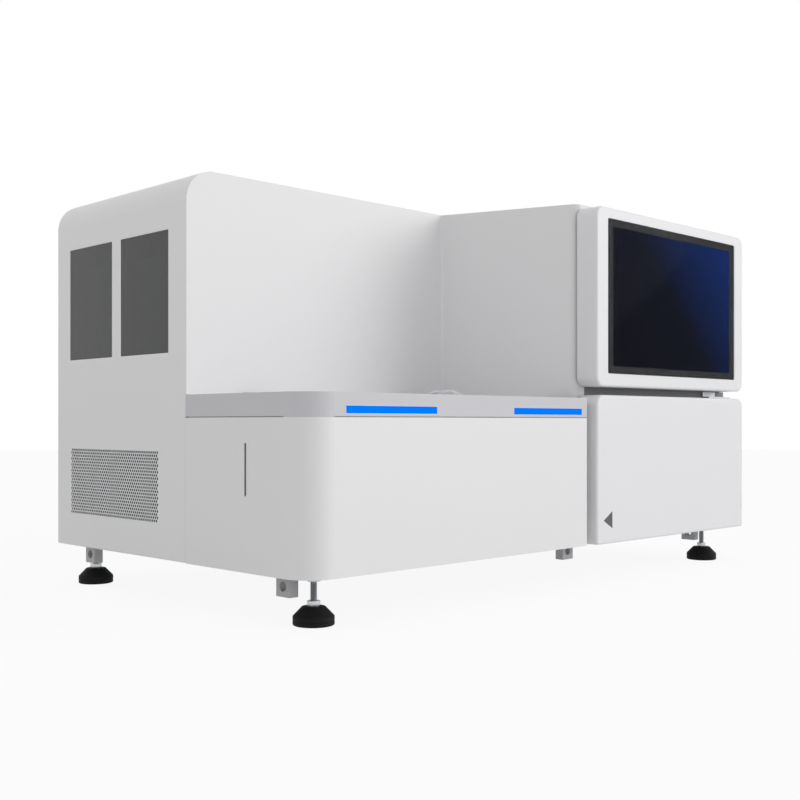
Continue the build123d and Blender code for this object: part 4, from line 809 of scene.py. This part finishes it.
vent = grow(
    perforation,
    cell,
    {
        "Columns": hole_columns,
        "Row Pairs": hole_row_pairs,
        "Hole Pitch": hole_pitch / 1000,
        "Row Pitch": row_pitch / 1000,
        "Material": white_coat,
    },
)

vent_low, vent_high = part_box("vent_grille")
vent_middle = (vent_low + vent_high) / 2
vent_depth = 0.0025
field_width = (hole_columns + 0.5) * hole_pitch / 1000
field_height = 2 * hole_row_pairs * row_pitch / 1000
for row in range(2 * hole_row_pairs):
    row_low = -field_height / 2 + row * row_pitch / 1000
    blank_x = field_width / 2 - half_cell if row % 2 == 0 else -field_width / 2
    for blank_z in (0.0, -plate_thickness / 1000):
        corners = [
            vent.verts.new((x, y, blank_z))
            for x, y in (
                (blank_x, row_low),
                (blank_x + half_cell, row_low),
                (blank_x + half_cell, row_low + 2 * half_row),
                (blank_x, row_low + 2 * half_row),
            )
        ]
        vent.faces.new(corners)
bmesh.ops.remove_doubles(vent, verts=vent.verts, dist=weld)
bmesh.ops.bridge_loops(vent, edges=[e for e in vent.edges if e.is_boundary])
to_side = Matrix(((0, 0, -1), (-1, 0, 0), (0, 1, 0))).to_4x4()
vent.transform(Matrix.Translation((vent_low.x, vent_middle.y, vent_middle.z)) @ to_side)
field_margin = Vector((0, field_width / 2, field_height / 2))
frame_rings = []
for corner_a, corner_b, depth in (
    (vent_low, vent_high, 0),
    (vent_middle - field_margin, vent_middle + field_margin, 0),
    (vent_middle - field_margin, vent_middle + field_margin, vent_depth),
    (vent_low, vent_high, vent_depth),
):
    frame_rings.append(
        [
            vent.verts.new((vent_low.x + depth, y, z))
            for y, z in (
                (corner_a.y, corner_a.z),
                (corner_b.y, corner_a.z),
                (corner_b.y, corner_b.z),
                (corner_a.y, corner_b.z),
            )
        ]
    )
for ring, after_ring in zip(frame_rings, frame_rings[1:] + frame_rings[:1]):
    for n in range(4):
        after = (n + 1) % 4
        vent.faces.new((ring[n], ring[after], after_ring[after], after_ring[n]))
piece("vent_perforation", vent, white_coat, "cabinet", ["vent_grille"])

# Dust filter. Coarse olive fibre mat with a rough surface, pushed in behind the perforation. Its
# colour drifts strongly, down to near black, which paints shade into some holes so that they look
# black.
filter_mat = finish(
    "filter_mat",
    tone(46, 49, 31),
    0.9,
    {"Specular IOR Level": 0.0},
    # The strong drift is painted shade: it darkens parts of the mat to near black behind the
    # holes.
    drift=3.2,
    drift_scale=110.0,
    rub=0.1,
    grain_scale=700.0,
    grain_depth=0.0006,
)
coat(filter_mat, "dust_filter")

# Cover screws. Steel button head screws with a socket, which hold the rear panel to the frame
# in one row along each edge, set by a tree of geometry nodes.
screw_margin, screws_across, screws_up = 0.015, 8, 5
screw_head = bmesh.new()
lathe(
    screw_head,
    [(0, 0), (4, 0), (4, 0.9), (3.3, 1.6), (1.8, 1.9), (1.5, 1.7), (1.5, 0.8), (0, 0.8)],
    Vector((0, 0, 0)),
    (0, 1, 0),
    18,
)
screw_rows, rows_in = node_tree(
    "screw_rows",
    (
        ("Item", "Object"),
        ("Across", "Int"),
        ("Up", "Int"),
        ("Width", "Float"),
        ("Height", "Float"),
        ("Material", "Material"),
    ),
)
row_points = add_node(screw_rows, "GeometryNodeJoinGeometry")
for across, up in ((rows_in["Across"], 2), (2, rows_in["Up"])):
    rows = grid_points(screw_rows, rows_in["Width"], rows_in["Height"], across, up)
    screw_rows.links.new(rows, row_points.inputs[0])
single_points = add_node(
    screw_rows,
    "GeometryNodeMergeByDistance",
    {"Geometry": row_points.outputs[0], "Distance": 0.001},
)
upright_points = add_node(
    screw_rows,
    "GeometryNodeTransform",
    {"Geometry": single_points.outputs[0], "Rotation": (math.pi / 2, 0, 0)},
)
set_on(screw_rows, upright_points.outputs[0], rows_in)
panel_low, panel_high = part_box("rear_panel")
panel_middle = (panel_low + panel_high) / 2
screws = grow(
    screw_rows,
    screw_head,
    {
        "Across": screws_across,
        "Up": screws_up,
        "Width": panel_high.x - panel_low.x - 2 * screw_margin,
        "Height": panel_high.z - panel_low.z - 2 * screw_margin,
        "Material": hinge_steel,
    },
)
screws.transform(Matrix.Translation((panel_middle.x, panel_high.y, panel_middle.z)))
piece("cover_screws", screws, hinge_steel, "cabinet")

# Display. Moulded white housing with a stepped seat, coated glass with a printed border bonded
# in it, and the screen behind, a plain dark field that is bluer at its upper right corner.
white_plastic = finish(
    "white_plastic",
    tone(236, 236, 238),
    0.4,
    drift=0.02,
    drift_scale=5.0,
    rub=0.1,
    grain_scale=2200.0,
    grain_depth=0.00002,
)
coat(white_plastic, "display_housing")
glass_low, glass_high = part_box("display_glass")
display_glass = bpy.data.materials.new("display_glass")
display_glass.use_nodes = True
glass_tree = display_glass.node_tree
glass_shader = glass_tree.nodes["Principled BSDF"]
glass_place = add_node(glass_tree, "ShaderNodeTexCoord").outputs["Object"]
glass_smear = add_node(
    glass_tree, "ShaderNodeTexNoise", {"Vector": glass_place, "Scale": 6.0, "Detail": 5.0}
)
glass_haze = add_node(
    glass_tree,
    "ShaderNodeMapRange",
    {"Value": glass_smear.outputs["Fac"], "To Min": 0.02, "To Max": 0.06},
)
glass_tree.links.new(glass_haze.outputs[0], glass_shader.inputs["Roughness"])
glass_shader.inputs["Base Color"].default_value = (0.97, 0.98, 0.98, 1)
glass_shader.inputs["Transmission Weight"].default_value = 1.0
glass_shader.inputs["IOR"].default_value = 1.02
front_glass = bmesh.new()
glass_corner, glass_arc, glass_thickness = 0.004, 5, 0.0014


def rounded_outline(low, high, radius, steps, y):
    """Round-cornered rectangle in an upright plane that faces the user."""
    points = []
    for centre_x, centre_z, start in (
        (high.x - radius, high.z - radius, 0),
        (low.x + radius, high.z - radius, 90),
        (low.x + radius, low.z + radius, 180),
        (high.x - radius, low.z + radius, 270),
    ):
        for n in range(steps + 1):
            angle = math.radians(start + 90 * n / steps)
            points.append(
                Vector(
                    (centre_x + radius * math.cos(angle), y, centre_z + radius * math.sin(angle))
                )
            )
    return points


outline = rounded_outline(glass_low, glass_high, glass_corner, glass_arc, glass_low.y)
prism(front_glass, outline, (0, glass_thickness, 0))
piece(
    "display_front_glass",
    front_glass,
    display_glass,
    "cabinet",
    ["display_glass"],
)
border_print = finish(
    "border_print",
    tone(58, 58, 60),
    0.6,
    {"Specular IOR Level": 0.0},
    drift=0.05, drift_scale=12.0, grain_scale=900.0
)
border_sides, border_ends, border_thickness = 0.0185, 0.0135, 0.0004
border_y = glass_low.y + glass_thickness + 0.00005
border = bmesh.new()
outer = rounded_outline(glass_low, glass_high, glass_corner, glass_arc, border_y)
margin = Vector((border_sides, 0, border_ends))
inner = rounded_outline(glass_low + margin, glass_high - margin, 0.001, glass_arc, border_y)
border_rings = []
for points, depth in (
    (outer, 0),
    (inner, 0),
    (inner, border_thickness),
    (outer, border_thickness),
):
    border_rings.append([border.verts.new(p + Vector((0, depth, 0))) for p in points])
for ring, after_ring in zip(border_rings, border_rings[1:] + border_rings[:1]):
    for n in range(len(ring)):
        after = (n + 1) % len(ring)
        border.faces.new((ring[n], ring[after], after_ring[after], after_ring[n]))
piece("display_border", border, border_print, "cabinet")

screen_glow = bpy.data.materials.new("screen_glow")
screen_glow.use_nodes = True
screen_tree = screen_glow.node_tree
screen_shader = screen_tree.nodes["Principled BSDF"]
screen_place = add_node(screen_tree, "ShaderNodeTexCoord").outputs["Object"]
upward_right = add_node(
    screen_tree,
    "ShaderNodeVectorMath",
    {0: screen_place, 1: (1, 0, 1)},
    operation="DOT_PRODUCT",
)
screen_shade = add_node(
    screen_tree,
    "ShaderNodeMapRange",
    {
        "Value": upward_right.outputs["Value"],
        "From Min": glass_low.x + glass_low.z,
        "From Max": glass_high.x + glass_high.z,
    },
)
screen_ramp = add_node(screen_tree, "ShaderNodeValToRGB", {"Fac": screen_shade.outputs[0]})
screen_ramp.color_ramp.elements[0].color = tone(17, 17, 22)
screen_ramp.color_ramp.elements[1].color = tone(22, 46, 104)
screen_ramp.color_ramp.elements.new(0.5).color = tone(17, 19, 30)
screen_shader.inputs["Base Color"].default_value = tone(6, 6, 8)
screen_shader.inputs["Roughness"].default_value = 0.6
screen_shader.inputs["Specular IOR Level"].default_value = 0.0
screen_tree.links.new(screen_ramp.outputs["Color"], screen_shader.inputs["Emission Color"])
screen_shader.inputs["Emission Strength"].default_value = 1.0
coat(screen_glow, "display_panel")

# Neck. Dark strip that carries on the column's front plate to the right side cover, between
# display and door.
neck_left, neck_right, neck_low, neck_high, neck_front = 1140, 1176, 266.6, 280.6, 35.6
neck_strip = bmesh.new()
outline = [
    at(neck_left, neck_front, neck_low),
    at(neck_right, neck_front, neck_low),
    at(neck_right, neck_front, neck_high),
    at(neck_left, neck_front, neck_high),
]
prism(neck_strip, outline, (0, 0.0026, 0))
piece("neck_strip", neck_strip, dark_coat, "cabinet")

# Reagent door. Moulded white shell with a grey arrow by its finger gap; inside, the insulated
# liner, the soft gasket round the bay's mouth, and the plated hinge brackets.
coat(white_plastic, "reagent_door")
sign_grey = finish("sign_grey", tone(78, 78, 80), 0.5, drift=0.05, drift_scale=60.0)
arrow_front, arrow_tip, arrow_back = -8.02, 679, 706
arrow = bmesh.new()
outline = [
    at(arrow_tip, arrow_front, 42),
    at(arrow_back, arrow_front, 27),
    at(arrow_back, arrow_front, 58),
]
prism(arrow, outline, (0, 0.0004, 0))
piece("door_arrow", arrow, sign_grey, "reagent_door")
liner_plastic = finish(
    "liner_plastic", tone(214, 216, 218), 0.45, drift=0.05, drift_scale=9.0, rub=0.15
)
coat(liner_plastic, "door_liner", "reagent_bay")
soft_rubber = finish(
    "soft_rubber", tone(48, 48, 50), 0.75, drift=0.3, drift_scale=60.0, grain_scale=1200.0
)
coat(soft_rubber, "door_gasket", "isolator_mounts")
coat(zinc_plate, "door_hinge_brackets")

# Sipper. Extruded and anodised lift post with its rail and motor, screwed to the wall above the
# reagent bay, and the head with its needles, which runs on that rail.
anodised = finish(
    "anodised",
    tone(186, 188, 192),
    0.36,
    {"Metallic": 0.9},
    drift=0.1,
    drift_scale=30.0,
    rub=0.2,
    grain_scale=420.0,
    grain_depth=0.00001,
    stretch=(0.4, 0.4, 5),
)
coat(anodised, "sipper_lift", "sipper_head")

# Optics and stage. Machined aluminium plate on rubber mounts with the optics bridge over it,
# ground steel rails screwed on, and anodised carriages, objective stage and imaging head.
machined = finish(
    "machined",
    tone(176, 178, 182),
    0.4,
    {"Metallic": 0.9},
    drift=0.12,
    drift_scale=16.0,
    rub=0.25,
    grain_scale=500.0,
    grain_depth=0.00001,
    stretch=(5, 0.3, 5),
)
coat(machined, "optics_plate", "optics_bridge", "flow_cell_chucks")
coat(hinge_steel, "stage_rails")
black_anodised = finish(
    "black_anodised",
    tone(40, 41, 44),
    0.42,
    {"Metallic": 0.5},
    drift=0.2,
    drift_scale=30.0,
    rub=0.2,
)
coat(black_anodised, "y_carriage", "x_carriage", "objective_stage", "imaging_head")

# Service bottles, pumps and electronics. Blow-moulded polyethylene bottles in a tray behind the
# windows, the moulded syringe pump block, and the black housings on the floor pan.
natural_plastic = finish(
    "natural_plastic",
    tone(212, 216, 220),
    0.4,
    {"Subsurface Weight": 0.2},
    drift=0.06,
    drift_scale=12.0,
)
coat(natural_plastic, "service_bottles")
coat(liner_plastic, "syringe_pumps")
coat(black_plastic, "control_electronics")

# Exhaust fan, power inlet and switch. Glass-filled black mouldings, screwed and clipped into
# the rear panel's openings.
coat(black_plastic, "exhaust_fan", "fan_rotor", "power_inlet", "power_switch")
